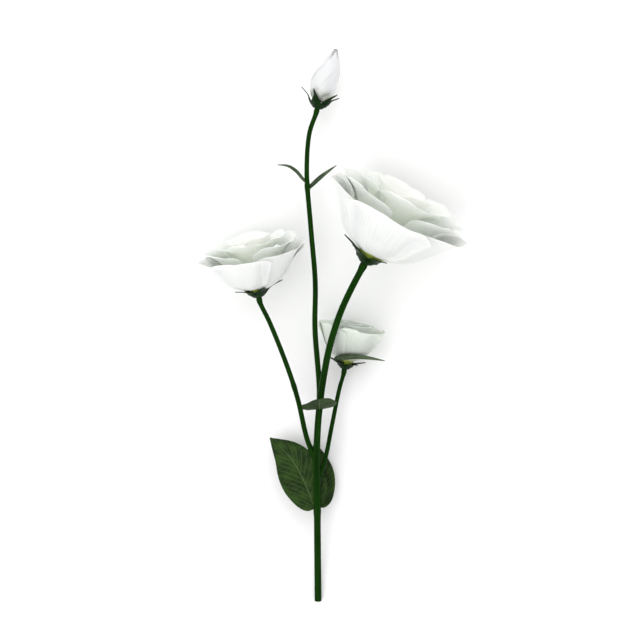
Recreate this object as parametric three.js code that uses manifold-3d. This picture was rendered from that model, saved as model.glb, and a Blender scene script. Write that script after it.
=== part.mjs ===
/**
 * A cut lisianthus spray as it lies on a flat surface: two open double flowers, a half-open flower and a
 * bud on one branched stem, with a pair of leaves at each lower joint and narrow bracts above them.
 *
 * Millimetres, +Z up. +Y runs from the cut end towards the bud, +X to the side of the largest flower.
 * The origin is on the surface, under the middle of the spray. Until the last step, X and Y are counted
 * from the cut end. A flower is made in its own frame, on +Z, with azimuth 0 at its upper side once it lies.
 */
import * as THREE from "three";
import { mergeVertices } from "three/addons/utils/BufferGeometryUtils.js";
import Module from "manifold-3d";

// ---------------------------------------------------------------- driving dimensions

/** Gap left between two pieces that touch. */
const GAP = 0.3;

/** Least gap between the main stem and the petals that it passes over. */
const CROSSING_GAP = 0.4;

const PETAL_THICKNESS = 0.5;
const LEAF_THICKNESS = 0.7;
const SEPAL_THICKNESS = 0.8;

/** Stem and stalk radii, [at the lower end, under the flower]. */
const MAIN_STEM_RADII = [2.15, 1.95];
const LEFT_STALK_RADII = [1.6, 1.4];
const SMALL_STALK_RADII = [1.4, 1.25];
const BUD_STALK_RADII = [1.75, 1.35];

/** Out from the axis to the tips of the outer petals. */
const RIGHT_FLOWER_RADIUS = 46;
const LEFT_FLOWER_RADIUS = 33.5;
const SMALL_FLOWER_RADIUS = 19;

const BUD_LENGTH = 33;
const BUD_RADIUS = 8;

/** Height of the middle of the bud's base over the surface: its stalk is stiff enough to hold it up. */
const BUD_BASE_HEIGHT = 19;

/** Calyx cup radii and heights, [radius, height], with the length of the five sepals on each. */
const RIGHT_CALYX = { radius: 6.4, height: 6.4, sepal: 16 };
const LEFT_CALYX = { radius: 5.4, height: 5.4, sepal: 13 };
const SMALL_CALYX = { radius: 4.2, height: 4.6, sepal: 10 };
const BUD_CALYX = { radius: 4.4, height: 4.6, sepal: 12.5 };

const LOWER_LEFT_LEAF = { length: 51, width: 27 };
const LOWER_RIGHT_LEAF = { length: 40, width: 21 };
const MIDDLE_FRONT_LEAF = { length: 34, width: 21 };
const MIDDLE_BACK_LEAF = { length: 22, width: 16 };
const BUD_BRACT = { length: 23, width: 4.2 };
/** One sepal of the half-open flower is as long as a leaf and curls across the front of the cup. */
const LONG_SEPAL = { length: 34, width: 5.5 };

/** Distances along Y from the cut end to the joints where leaves and stalks grow. */
const LOWER_JOINT = 57;
const SMALL_FORK = 73;
const LEFT_FORK = 86;
const MIDDLE_JOINT = 118.5;
const BUD_FORK = 123;

/** Where each calyx is in plan, the way it leans from +Y towards +X, and its lift, in degrees. */
const RIGHT_HEAD = { x: 27.6, y: 205, lean: 27.3, lift: 12 };
const LEFT_HEAD = { x: -35.6, y: 185, lean: -11.5, lift: 11.5 };
const SMALL_HEAD = { x: 15.9, y: 141.6, lean: 10.5, lift: 8 };
const BUD_HEAD = { x: -0.9, y: 299, lean: 15, lift: 0 };

// ---------------------------------------------------------------- solids

const wasm = await Module();
wasm.setup();

/** A manifold-3d solid of a closed geometry. */
function solidOf(geometry) {
  const bare = geometry.clone();
  bare.deleteAttribute("normal");
  bare.deleteAttribute("uv");
  const merged = mergeVertices(bare, 1e-4);
  return new wasm.Manifold(
    new wasm.Mesh({
      numProp: 3,
      vertProperties: merged.attributes.position.array,
      triVerts: new Uint32Array(merged.index.array),
    }),
  );
}

/** The geometry of a manifold-3d solid. */
function geometryOf(solid) {
  const mesh = solid.getMesh();
  return new THREE.BufferGeometry()
    .setAttribute("position", new THREE.BufferAttribute(mesh.vertProperties, 3))
    .setIndex(new THREE.BufferAttribute(mesh.triVerts, 1));
}

const join = (...geometries) =>
  geometryOf(geometries.map(solidOf).reduce((whole, piece) => whole.add(piece)));

const cut = (geometry, tool) => geometryOf(solidOf(geometry).subtract(solidOf(tool)));

/** Moves every vertex of a geometry to where `place` says. */
function reshape(geometry, place) {
  const position = geometry.attributes.position;
  const vertex = new THREE.Vector3();
  for (let i = 0; i < position.count; i++) {
    const moved = place(vertex.fromBufferAttribute(position, i));
    position.setXYZ(i, moved.x, moved.y, moved.z);
  }
  return geometry;
}

/** A thin closed sheet that follows surface(across, along), for across in -1..1 and along in 0..1. */
function sheet(surface, thickness, acrossSteps, alongSteps) {
  const nudge = 1e-3;
  const slab = new THREE.BoxGeometry(2, 1, thickness, acrossSteps, alongSteps, 1);
  return reshape(slab, ({ x: across, y, z: depth }) => {
    const along = y + 0.5;
    const [before, after] = [Math.max(0, along - nudge), Math.min(1, along + nudge)];
    const acrossWay = surface(across + nudge, along).sub(surface(across - nudge, along));
    const alongWay = surface(across, after).sub(surface(across, before));
    return surface(across, along).addScaledVector(acrossWay.cross(alongWay).normalize(), depth);
  });
}

/** A round rod that follows a curve; radiusAt gives its radius from 0 at the curve's start to 1 at its end. */
function rod(curve, radiusAt, sides, rings) {
  const centres = curve.getSpacedPoints(rings);
  const { normals, binormals } = curve.computeFrenetFrames(rings);
  return reshape(new THREE.CylinderGeometry(1, 1, 1, sides, rings), ({ x, y, z }) => {
    const ring = Math.round((y + 0.5) * rings);
    const radius = radiusAt(ring / rings);
    return centres[ring]
      .clone()
      .addScaledVector(normals[ring], x * radius)
      .addScaledVector(binormals[ring], -z * radius);
  });
}

/** A turned solid on +Z from its [radius, height] outline, which starts and ends on the axis. */
const turned = (outline, sides) =>
  new THREE.LatheGeometry(outline.map((point) => new THREE.Vector2(...point)), sides).rotateX(Math.PI / 2);

const radians = THREE.MathUtils.degToRad;
const mix = THREE.MathUtils.lerp;
const ease = THREE.MathUtils.smoothstep;
const vector = (x, y, z) => new THREE.Vector3(x, y, z);

/** The direction out from a flower's axis at an azimuth in degrees. */
const around = (azimuth) => vector(Math.sin(radians(azimuth)), -Math.cos(radians(azimuth)), 0);

/** A smooth curve through the points. */
const route = (points) =>
  new THREE.CatmullRomCurve3(points.map((point) => vector(...point)), false, "centripetal");

// ---------------------------------------------------------------- materials

const finish = (color, roughness) =>
  new THREE.MeshStandardMaterial({ color, roughness, metalness: 0, side: THREE.DoubleSide });

const PETAL = finish(0xeff3ea, 0.6);
const INNER_PETAL = finish(0xf3f1dc, 0.6);
const STEM = finish(0x1f4d1a, 0.5);
const LEAF = finish(0x2f4a22, 0.6);
const CALYX = finish(0x1d5214, 0.5);
const STAMEN = finish(0xe3b93a, 0.8);
const PISTIL = finish(0xa9b85a, 0.6);

function named(name, geometry, material) {
  const mesh = new THREE.Mesh(geometry, material);
  mesh.name = name;
  return mesh;
}

// ---------------------------------------------------------------- flowers

/**
 * Whorls of a double flower, from the outside in. A profile runs from petal foot to tip as
 * [out, up] in flower radii, after the foot itself, which stands on the calyx.
 *   azimuths: where the middle of each petal is, in degrees from the flower's upper side
 *   foot: distance of the foot from the axis, in calyx radii
 *   reach: half the angle that a petal covers, in degrees
 *   lap: how far an edge stands out over or in under the next petal's edge, in flower radii
 *   over: for each petal, whether its left edge is over (1) or under (-1) the petal before it
 *   rounding: how much shorter a petal is at its side edges than at its middle
 */
const DOUBLE_WHORLS = [
  {
    name: "outer", azimuths: [0, 72, 144, 216, 288], foot: 0.72, reach: 50,
    lap: 0.038, over: [1, -1, 1, -1, -1], rounding: 0.2,
    profile: [[0.25, 0.215], [0.52, 0.37], [0.8, 0.7], [1.0, 0.86]],
  },
  {
    name: "second", azimuths: [66, 129, 192, 255, 318], foot: 0.53, reach: 44,
    lap: 0.04, over: [-1, -1, -1, -1, -1], rounding: 0.18,
    profile: [[0.17, 0.27], [0.37, 0.49], [0.64, 0.84], [0.88, 1.01]],
  },
  {
    name: "third", azimuths: [16, 106, 196, 286], foot: 0.37, reach: 55,
    lap: 0.031, over: [-1, -1, -1, -1], rounding: 0.18,
    profile: [[0.115, 0.31], [0.24, 0.56], [0.44, 0.91], [0.66, 1.1]],
  },
  {
    name: "inner", azimuths: [60, 180, 300], foot: 0.18, reach: 66,
    lap: 0.024, over: [-1, -1, -1], rounding: 0.2,
    profile: [[0.07, 0.37], [0.14, 0.62], [0.27, 0.94], [0.4, 1.14]],
  },
];

/** The cup of the half-open flower. */
const CUP_WHORL = {
  name: "outer", azimuths: [12, 84, 156, 228, 300], foot: 0.72, reach: 53,
  lap: 0.06, over: [-1, -1, -1, -1, -1], rounding: 0.14,
  profile: [[0.42, 0.42], [0.72, 0.72], [0.92, 1.14], [1.0, 1.46]],
};

/** Half the angle that a petal's foot covers, as a share of its room in the whorl. */
const FOOT_SHARE = 0.72;

/**
 * The surface of one petal. oval flattens the flower from its upper side to its lower side, and sway makes
 * it open wider to its right than to its left.
 */
function petalSurface(whorl, index, { radius, calyx, spin, oval = 1, sway = 0 }) {
  const count = whorl.azimuths.length;
  const middle = spin + whorl.azimuths[index];
  const leftEdge = whorl.over[index];
  const rightEdge = -whorl.over[(index + 1) % count];
  const profile = new THREE.SplineCurve([
    new THREE.Vector2(whorl.foot * calyx.radius, calyx.height + GAP + PETAL_THICKNESS / 2),
    ...whorl.profile.map(([out, up]) => new THREE.Vector2(out * radius, up * radius)),
  ]);
  return (across, along) => {
    const { x: out, y: up } = profile.getPoint(along * (1 - whorl.rounding * across ** 4));
    const half = mix((180 / count) * FOOT_SHARE, whorl.reach, ease(along, 0.05, 0.5));
    const azimuth = middle + across * half;
    const lap = mix(leftEdge, rightEdge, (across + 1) / 2) * whorl.lap * radius * ease(along, 0.03, 0.42);
    const wider = 1 + sway * Math.sin(radians(azimuth));
    return around(azimuth).multiplyScalar((out + lap) * wider).multiply(vector(1, oval, 1)).setZ(up);
  };
}

function petals(flower, whorl, material) {
  return whorl.azimuths.map((_, index) =>
    named(
      `${flower.name}_${whorl.name}_petal_${index + 1}`,
      sheet(petalSurface(whorl, index, flower), PETAL_THICKNESS, 6, 5),
      material,
    ),
  );
}

/** The half width of a leaf, bract or sepal from foot to tip, as a share of its widest half width. */
const outline = (foot, power) => (along) =>
  Math.max(0.04, Math.sin(Math.PI * mix(foot, 0.995, along) ** power) ** 0.8);

const OVATE = outline(0.05, 0.85);
const LANCE = outline(0.08, 0.75);

/**
 * A blade's surface. Its spine starts at base and runs through points [ahead, aside, up], in blade lengths:
 * ahead is along heading, up is towards face. fold lifts the two halves towards the face.
 */
function bladeSurface({ base, heading, face, length, width, shape, spine, fold = 0 }) {
  const ahead = heading.clone().normalize();
  const aside = ahead.clone().cross(face).normalize();
  const up = aside.clone().cross(ahead);
  const frame = new THREE.Matrix4().makeBasis(ahead, aside, up).scale(vector(length, length, length));
  frame.setPosition(base);
  const curve = route([[0, 0, 0], ...spine].map((point) => vector(...point).applyMatrix4(frame).toArray()));
  return (across, along) => {
    const side = curve.getTangent(along).cross(up).normalize();
    const out = across * shape(along) * width / 2;
    return curve.getPoint(along).addScaledVector(side, out).addScaledVector(up, fold * Math.abs(out));
  };
}

/** Calyx: a cup on the stalk's end that carries five narrow sepals, which stand off at spread degrees. */
function calyxGeometry({ radius, height, sepal }, stalkRadius, spin, spread, ...more) {
  const cup = turned(
    [[0, GAP], [stalkRadius * 0.98, GAP], [radius * 0.62, height * 0.22], [radius * 0.93, height * 0.62],
      [radius, height * 0.9], [radius * 0.94, height], [0, height]],
    15,
  );
  const sepals = Array.from({ length: 5 }, (_, index) => {
    const outward = around(spin + 36 + index * 72);
    return sheet(
      bladeSurface({
        base: outward.clone().multiplyScalar(radius * 0.7).setZ(height * 0.62),
        heading: outward.clone().multiplyScalar(Math.tan(radians(spread))).setZ(1),
        face: outward.clone().negate(),
        length: sepal,
        width: radius * 0.5,
        shape: outline(0.35, 1.2),
        spine: [[0.5, 0, -0.035], [1, 0, -0.14]],
      }),
      SEPAL_THICKNESS,
      2,
      4,
    );
  });
  return join(cup, ...sepals, ...more);
}

/** Pistil: ovary, style and a broad stigma, standing on the calyx within the innermost petals' feet. */
const pistilGeometry = (foot, length, girth, footRadius) =>
  turned(
    [[0, foot], [footRadius, foot], [girth, foot + length * 0.2], [girth * 0.8, foot + length * 0.42],
      [girth * 0.35, foot + length * 0.58], [girth * 0.35, foot + length * 0.82],
      [girth * 0.95, foot + length * 0.9], [girth * 0.8, foot + length], [0, foot + length * 0.97]],
    8,
  );

/** Five stamens on a ring round the pistil's foot. */
function stamensGeometry(foot, length, clear) {
  const filament = 0.5;
  const outer = clear + 2 * filament;
  const top = foot + 1.2;
  const ring = turned([[clear, foot], [outer, foot], [outer, top], [clear, top], [clear, foot]], 10);
  const stamens = Array.from({ length: 5 }, (_, index) => {
    const at = (lean, up) =>
      around(index * 72).multiplyScalar(clear + filament + length * lean).setZ(foot + up).toArray();
    const curve = route([at(0, 0.4), at(0.03, length * 0.6), at(0.11, length)]);
    const anther = new THREE.SphereGeometry(1, 5, 4).scale(0.95, 0.95, 1.9);
    return [rod(curve, () => filament, 4, 2), anther.translate(...at(0.11, length))];
  });
  return join(ring, ...stamens.flat());
}

/** A head is a group that holds one flower. Its place on the surface comes from its lowest petal. */
function head(parts, { x, y, lean, lift }, baseHeight = null) {
  const group = new THREE.Group();
  group.add(...parts);
  group.rotation.set(radians(lift - 90), 0, radians(-lean), "ZYX");
  group.position.set(x, y, 0);
  group.updateMatrixWorld(true);
  group.position.z = baseHeight ?? -new THREE.Box3().setFromObject(group, true).min.z;
  group.updateMatrixWorld(true);
  return group;
}

function doubleFlower(flower, place, stalkRadius) {
  const { name, radius, calyx, spin } = flower;
  const foot = calyx.height + GAP;
  const girth = calyx.radius * 0.26;
  const pistilFoot = DOUBLE_WHORLS.at(-1).foot * calyx.radius - PETAL_THICKNESS / 2 - GAP;
  return head(
    [
      named(`${name}_calyx`, calyxGeometry(calyx, stalkRadius, spin, 62), CALYX),
      ...DOUBLE_WHORLS.flatMap((whorl) =>
        petals(flower, whorl, whorl.azimuths.length < 5 ? INNER_PETAL : PETAL)),
      named(`${name}_pistil`, pistilGeometry(foot, radius * 0.72, girth * 0.8, pistilFoot), PISTIL),
      named(`${name}_stamens`, stamensGeometry(foot + radius * 0.34, radius * 0.38, girth), STAMEN),
    ],
    place,
  );
}

/** The furled petals of a bud, or the heart of the half-open flower: a twisted, five-sided drop. */
function furledGeometry(foot, length, radius, outlineShares, lobes, twist) {
  const points = outlineShares.map(([out, up]) => [out * radius, foot + up * length]);
  return reshape(turned([[0, foot], ...points], 20), (vertex) => {
    const share = (vertex.z - foot) / length;
    const angle = Math.atan2(vertex.y, vertex.x);
    const swell = 1 + 0.07 * Math.sin(lobes * angle + twist * share) * ease(share, 0, 0.3);
    return vertex.set(vertex.x * swell, vertex.y * swell, vertex.z);
  });
}

function halfOpenFlower(flower, place, stalkRadius) {
  const { radius, calyx } = flower;
  const heartRadius = radius * 0.41;
  const heartFoot = CUP_WHORL.foot * calyx.radius - PETAL_THICKNESS / 2 - 2 * GAP;
  const heart = furledGeometry(calyx.height + GAP, radius * 0.94, heartRadius,
    [[heartFoot / heartRadius, 0], [0.5, 0.2], [0.85, 0.55], [1, 0.85], [0.7, 1], [0, 0.94]], 3, 4);
  const longSepal = sheet(
    bladeSurface({
      ...LONG_SEPAL,
      base: around(-59).multiplyScalar(calyx.radius * 0.83).setZ(calyx.height * 0.78),
      heading: vector(1, 0, 0),
      face: vector(0, -1, -1),
      shape: LANCE,
      spine: [
        [-0.065, -0.179, 0.046], [0.074, -0.314, 0.064], [0.265, -0.331, 0.031], [0.515, -0.282, -0.025],
        [0.765, -0.222, -0.069],
      ],
      fold: 0.05,
    }),
    SEPAL_THICKNESS,
    2,
    8,
  );
  return head(
    [
      named(`${flower.name}_calyx`, calyxGeometry(calyx, stalkRadius, flower.spin, 66, longSepal), CALYX),
      ...petals(flower, CUP_WHORL, PETAL),
      named(`${flower.name}_furled_petals`, heart, INNER_PETAL),
    ],
    place,
  );
}

function bud(flower, place, stalkRadius) {
  const drop = furledGeometry(flower.calyx.height + GAP, BUD_LENGTH, BUD_RADIUS,
    [[0.42, 0], [0.86, 0.14], [1, 0.3], [0.9, 0.5], [0.6, 0.75], [0.3, 0.92], [0.1, 0.99], [0, 1]], 5, 3.5);
  return head(
    [
      named(`${flower.name}_calyx`, calyxGeometry(flower.calyx, stalkRadius, flower.spin, 50), CALYX),
      named(`${flower.name}_furled_petals`, drop, PETAL),
    ],
    place,
    BUD_BASE_HEIGHT,
  );
}

const HALF_OPEN = {
  name: "small_flower", radius: SMALL_FLOWER_RADIUS, calyx: SMALL_CALYX, spin: 0, oval: 0.88,
};

const rightFlower = doubleFlower(
  { name: "right_flower", radius: RIGHT_FLOWER_RADIUS, calyx: RIGHT_CALYX, spin: 0, sway: 0.08 },
  RIGHT_HEAD, MAIN_STEM_RADII[1]);
const leftFlower = doubleFlower(
  { name: "left_flower", radius: LEFT_FLOWER_RADIUS, calyx: LEFT_CALYX, spin: -18, sway: 0.03 },
  LEFT_HEAD, LEFT_STALK_RADII[1]);
const smallFlower = halfOpenFlower(HALF_OPEN, SMALL_HEAD, SMALL_STALK_RADII[1]);
const budFlower = bud({ name: "bud", calyx: BUD_CALYX, spin: 14 }, BUD_HEAD, BUD_STALK_RADII[1]);

// ---------------------------------------------------------------- stem and stalks

/** The main stem rises in an arc from its cut end, which rests on the surface, to its flower. */
const rise = rightFlower.position.z - MAIN_STEM_RADII[0];
const cutEndSlope = Math.atan((rise * Math.PI) / 2 / RIGHT_HEAD.y);
const cutEndHeight = MAIN_STEM_RADII[0] * Math.cos(cutEndSlope);
const arc = (y) => cutEndHeight + rise * Math.sin(Math.min(1, y / RIGHT_HEAD.y) * Math.PI / 2);

/** The last points of a stalk, which meets the calyx in line with the flower's axis. */
const arrival = (flowerHead) => [-3, 0].map((back) => flowerHead.localToWorld(vector(0, 0, back)).toArray());

const STEM_SIDES = 10;

const stalkGeometry = (curve, [lower, upper], rings, extra = 0) =>
  rod(curve, (along) => mix(lower, upper, along) + extra, STEM_SIDES, rings);

const stemPlan = [
  [0, 0], [-0.4, 50], [-0.6, 98], [1.2, 122], [4.2, 142.2], [7.2, 156.6], [13.4, 176], [20, 190.5],
];

/** Where a stalk can give way to the small flower beside it, from 0 at its fork to 1 and back to 0. */
function bend(y) {
  const share = THREE.MathUtils.clamp((y - BUD_FORK) / (RIGHT_HEAD.y - BUD_FORK), 0, 1);
  return Math.sin(Math.PI * share) ** 2;
}

/** Points all over the cup of the small flower. */
const cupPoints = CUP_WHORL.azimuths.flatMap((_, index) => {
  const surface = petalSurface(CUP_WHORL, index, HALF_OPEN);
  return Array.from({ length: 861 }, (_, i) =>
    smallFlower.localToWorld(surface((i % 41) / 20 - 1, Math.floor(i / 41) / 20)));
});

/** How far a stalk has to shift along one axis to keep clear of the cup; 0 if it passes it as it is. */
function shiftPast(points, radius, aside, way, sign) {
  const track = route(points).getSpacedPoints(300);
  const room = radius + PETAL_THICKNESS / 2 + CROSSING_GAP;
  return cupPoints.reduce((shift, point) => {
    const centre = track.reduce((a, b) => (Math.abs(b.y - point.y) < Math.abs(a.y - point.y) ? b : a));
    const off = Math.abs(point[aside] - centre[aside]);
    if (off >= room || bend(point.y) === 0) return shift;
    const needed = sign * (point[way] - centre[way]) + Math.sqrt(room ** 2 - off ** 2);
    return Math.max(shift, needed / bend(point.y));
  }, 0);
}

const plainStem = stemPlan.map(([x, y]) => [x, y, arc(y)]);
const archOver = shiftPast(plainStem, MAIN_STEM_RADII[0], "x", "z", 1);
const stemHeight = (y) => arc(y) + archOver * bend(y);
const stemCurve = route([...stemPlan.map(([x, y]) => [x, y, stemHeight(y)]), ...arrival(rightFlower)]);
const stemGeometry = stalkGeometry(stemCurve, MAIN_STEM_RADII, 26);
const stemClearance = stalkGeometry(stemCurve, MAIN_STEM_RADII, 26, GAP);

/** The point of the stem's axis at a distance y along the spray. */
function stemPoint(y) {
  let [low, high] = [0, 1];
  while (high - low > 1e-4) {
    const half = (low + high) / 2;
    if (stemCurve.getPoint(half).y < y) low = half;
    else high = half;
  }
  return stemCurve.getPoint(low);
}

/** A stalk's points over its plan: it leaves the stem at fork, drop below its axis, and ends at a flower. */
function overPlan(fork, drop, plan, flowerHead) {
  const start = stemPoint(fork);
  const end = flowerHead.position;
  return plan.map(([x, y]) => [x, y, mix(start.z - drop, end.z, ease(y, fork, end.y))]);
}

/** A stalk from its fork on the stem through its points to a flower head. */
function branch(name, fork, points, flowerHead, radii, rings) {
  const curve = route([stemPoint(fork).toArray(), ...points, ...arrival(flowerHead)]);
  return { curve, mesh: named(name, cut(stalkGeometry(curve, radii, rings), stemClearance), STEM) };
}

const leftPlan = [[-6.3, 99], [-12.2, 124], [-18, 142.2], [-29, 170]];
const smallPlan = [[4.4, 88], [8.1, 106.2], [13, 130]];
const budPlan = [[0.4, 138], [-1.8, 166], [-1.7, 195], [-4.4, 228], [-6.8, 262], [-5.1, 285]];

const leftPoints = overPlan(LEFT_FORK, 0, leftPlan, leftFlower);
const smallPoints = overPlan(SMALL_FORK, 1, smallPlan, smallFlower);
const plainBudPoints = overPlan(BUD_FORK, 5, budPlan, budFlower);
const giveWay = shiftPast(plainBudPoints, BUD_STALK_RADII[0], "z", "x", -1);
const budPoints = plainBudPoints.map(([x, y, z]) => [x - giveWay * bend(y), y, z]);

const leftStalk = branch("left_flower_stalk", LEFT_FORK, leftPoints, leftFlower, LEFT_STALK_RADII, 14);
const smallStalk = branch("small_flower_stalk", SMALL_FORK, smallPoints, smallFlower, SMALL_STALK_RADII, 10);
const budStalk = branch("bud_stalk", BUD_FORK, budPoints, budFlower, BUD_STALK_RADII, 20);

// ---------------------------------------------------------------- leaves and bracts

/** A leaf or bract whose foot starts inside its stalk and is cut back to the gap. */
function leaf(name, size, surface, clearance) {
  const blade = sheet(bladeSurface({ ...size, ...surface }), LEAF_THICKNESS, 4, 7);
  return named(name, cut(blade, clearance), LEAF);
}

/** The point of a stalk's axis at the distance y along the spray. */
const pointOn = (curve, y) =>
  curve.getSpacedPoints(200).reduce((best, point) => {
    return Math.abs(point.y - y) < Math.abs(best.y - y) ? point : best;
  });

const budClearance = stalkGeometry(budStalk.curve, BUD_STALK_RADII, 20, GAP);

const leaves = [
  leaf("lower_left_leaf", LOWER_LEFT_LEAF, {
    base: stemPoint(LOWER_JOINT).add(vector(-2, 0, -0.6)),
    heading: vector(-0.53, 0.84, -0.08),
    face: vector(0.06, 0, 1),
    shape: OVATE,
    spine: [[0.3, 0.06, 0.01], [0.65, 0.08, 0.02], [1, 0, -0.04]],
    fold: 0.1,
  }, stemClearance),
  leaf("lower_right_leaf", LOWER_RIGHT_LEAF, {
    base: stemPoint(LOWER_JOINT).add(vector(1.2, 0.6, -2.4)),
    heading: vector(0, 0.93, -0.3),
    face: vector(0.16, 0.3, 0.9),
    shape: OVATE,
    spine: [[0.3, -0.01, -0.06], [0.65, -0.02, -0.03], [1, -0.08, 0.08]],
    fold: 0.1,
  }, stemClearance),
  leaf("middle_front_leaf", MIDDLE_FRONT_LEAF, {
    base: stemPoint(MIDDLE_JOINT).add(vector(0, -0.4, 0.8)),
    heading: vector(0, 0.2, 0.97),
    face: vector(-0.12, 1, 0),
    shape: OVATE,
    spine: [[0.35, 0, -0.01], [0.7, 0, -0.01], [1, 0, 0]],
    fold: 0.03,
  }, stemClearance),
  leaf("middle_back_leaf", MIDDLE_BACK_LEAF, {
    base: stemPoint(MIDDLE_JOINT).add(vector(0, -0.6, -0.8)),
    heading: vector(0, 0.06, -0.98),
    face: vector(0, 1, 0.2),
    shape: OVATE,
    spine: [[0.5, 0, 0.05], [1, 0, 0]],
    fold: 0.1,
  }, stemClearance),
  leaf("bud_left_bract", BUD_BRACT, {
    base: pointOn(budStalk.curve, 254),
    heading: vector(-0.85, 0.53, 0.1),
    face: vector(0.45, 0.72, 0.5),
    shape: LANCE,
    spine: [[0.19, 0, 0.055], [0.45, 0, 0.14], [0.69, 0, 0.135], [0.93, 0, 0]],
    fold: 0.1,
  }, budClearance),
  leaf("bud_right_bract", BUD_BRACT, {
    base: pointOn(budStalk.curve, 250.5),
    heading: vector(0.76, 0.64, -0.05),
    face: vector(-0.64, 0.76, 0.8),
    shape: LANCE,
    spine: [[0.5, 0, 0.03], [1, 0, 0]],
    fold: 0.1,
  }, budClearance),
];

// ---------------------------------------------------------------- the spray

const spray = new THREE.Group();
spray.add(
  named("main_stem", stemGeometry, STEM),
  leftStalk.mesh, smallStalk.mesh, budStalk.mesh,
  ...leaves,
  rightFlower, leftFlower, smallFlower, budFlower,
);

const extent = new THREE.Box3().setFromObject(spray, true);
const middle = extent.getCenter(new THREE.Vector3());
spray.position.set(-middle.x, -middle.y, -extent.min.z);

export default spray;
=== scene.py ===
"""Looks of a cut lisianthus spray that lies on a table: two double flowers, a half-open one and a bud.

Lengths in the classes are millimetres, counted as the grower would: along the stem from its cut end (y),
to the side of it (x) and over the table (z). Each flower is shaped round its own axis, with azimuth 0 at
the side that faces up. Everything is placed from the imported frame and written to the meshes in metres.
"""

import logging
import math
from dataclasses import dataclass, field
from enum import Enum
from typing import Callable, Sequence

import bpy
import numpy as np
from mathutils import Matrix, Vector


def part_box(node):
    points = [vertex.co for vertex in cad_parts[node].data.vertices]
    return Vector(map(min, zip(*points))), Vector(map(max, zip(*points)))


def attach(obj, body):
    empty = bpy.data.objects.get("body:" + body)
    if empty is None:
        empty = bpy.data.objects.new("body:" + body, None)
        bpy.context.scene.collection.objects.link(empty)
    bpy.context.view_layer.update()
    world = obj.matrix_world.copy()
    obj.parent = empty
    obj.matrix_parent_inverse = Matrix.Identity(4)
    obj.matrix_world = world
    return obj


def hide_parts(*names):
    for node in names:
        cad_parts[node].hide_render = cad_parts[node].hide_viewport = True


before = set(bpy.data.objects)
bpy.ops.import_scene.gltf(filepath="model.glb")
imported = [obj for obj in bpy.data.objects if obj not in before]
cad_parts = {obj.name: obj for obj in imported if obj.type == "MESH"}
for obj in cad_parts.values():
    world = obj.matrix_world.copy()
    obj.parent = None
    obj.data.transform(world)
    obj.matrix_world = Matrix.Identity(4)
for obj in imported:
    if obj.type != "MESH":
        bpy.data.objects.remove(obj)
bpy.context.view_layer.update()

MM = 0.001
GAP = 0.3  # between a calyx and what stands on it, as in the frame
PETAL_SHEET = 0.5  # the petals' thickness in the frame
PETAL_THICKNESS = 0.28
WRAP_THICKNESS = 0.3
LEAF_THICKNESS = 0.35
BLADE_THICKNESS = 0.5  # of sepals and bracts
BROAD = 12  # a blade wider than this is a leaf, and a narrower one a bract
TABLE_SOFTNESS = 0.3
PETALS_LOWEST = 0.35
SEPALS_LOWEST = 0.5
SEPALS = 5
BODY = "root"
log = logging.getLogger("spray")

Surface = Callable[[np.ndarray, np.ndarray], np.ndarray]


# ------------------------------------------------------------------ numbers


def ease(value: np.ndarray, low: float, high: float) -> np.ndarray:
    """Smooth step from 0 at low to 1 at high."""
    share = np.clip((value - low) / (high - low), 0, 1)
    return share * share * (3 - 2 * share)


def spline(points: Sequence[Sequence[float]], share: np.ndarray) -> np.ndarray:
    """Points of an even Catmull-Rom curve.

    Args:
        points: the control points, which the curve passes through.
        share: places along the curve, 0 to 1.

    Returns:
        One row of coordinates for each share.
    """
    knots = np.asarray(points, float)
    last = len(knots) - 1
    place = np.clip(share, 0, 1) * last
    index = np.minimum(place.astype(int), last - 1)
    step = (place - index)[:, None]
    before, start = knots[np.maximum(index - 1, 0)], knots[index]
    end, after = knots[index + 1], knots[np.minimum(index + 2, last)]
    leave, arrive = (end - before) / 2, (after - start) / 2
    return (
        (2 * start - 2 * end + leave + arrive) * step**3
        + (3 * end - 3 * start - 2 * leave - arrive) * step**2
        + leave * step
        + start
    )


class Route:
    """A smooth curve through points in space, with no overshoot where the points stand close together."""

    def __init__(self, points: Sequence[Sequence[float]]) -> None:
        """Samples the curve finely once.

        Args:
            points: the points, in millimetres.
        """
        knots = [np.asarray(point, float) for point in points]
        knots = [2 * knots[0] - knots[1], *knots, 2 * knots[-1] - knots[-2]]
        samples = []
        for a, b, c, d in zip(knots, knots[1:], knots[2:], knots[3:]):
            gaps = [max(float(np.linalg.norm(q - p)) ** 0.5, 1e-6) for p, q in ((a, b), (b, c), (c, d))]
            leave = ((b - a) / gaps[0] - (c - a) / (gaps[0] + gaps[1]) + (c - b) / gaps[1]) * gaps[1]
            arrive = ((c - b) / gaps[1] - (d - b) / (gaps[1] + gaps[2]) + (d - c) / gaps[2]) * gaps[1]
            step = np.linspace(0, 1, 48, endpoint=False)[:, None]
            cubic = (2 * b - 2 * c + leave + arrive) * step**3
            cubic = cubic + (3 * c - 3 * b - 2 * leave - arrive) * step**2
            samples.append(cubic + leave * step + b)
        self.samples = np.vstack([*samples, knots[-2][None]])
        lengths = np.linalg.norm(np.diff(self.samples, axis=0), axis=1)
        self.travel = np.concatenate([[0], np.cumsum(lengths)])
        self.length = float(self.travel[-1])

    def point(self, share: np.ndarray) -> np.ndarray:
        """Points at shares 0 to 1 of the curve's length."""
        at = np.clip(share, 0, 1) * self.length
        return np.stack([np.interp(at, self.travel, self.samples[:, k]) for k in range(3)], axis=-1)

    def tangent(self, share: np.ndarray) -> np.ndarray:
        """Unit directions at shares 0 to 1 of the curve's length."""
        step = self.point(np.asarray(share) + 4e-3) - self.point(np.asarray(share) - 4e-3)
        return step / np.linalg.norm(step, axis=-1, keepdims=True)

    def at_y(self, y: float) -> np.ndarray:
        """The curve's point at a distance y along the spray."""
        return self.samples[np.argmin(abs(self.samples[:, 1] - y))].copy()


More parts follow.
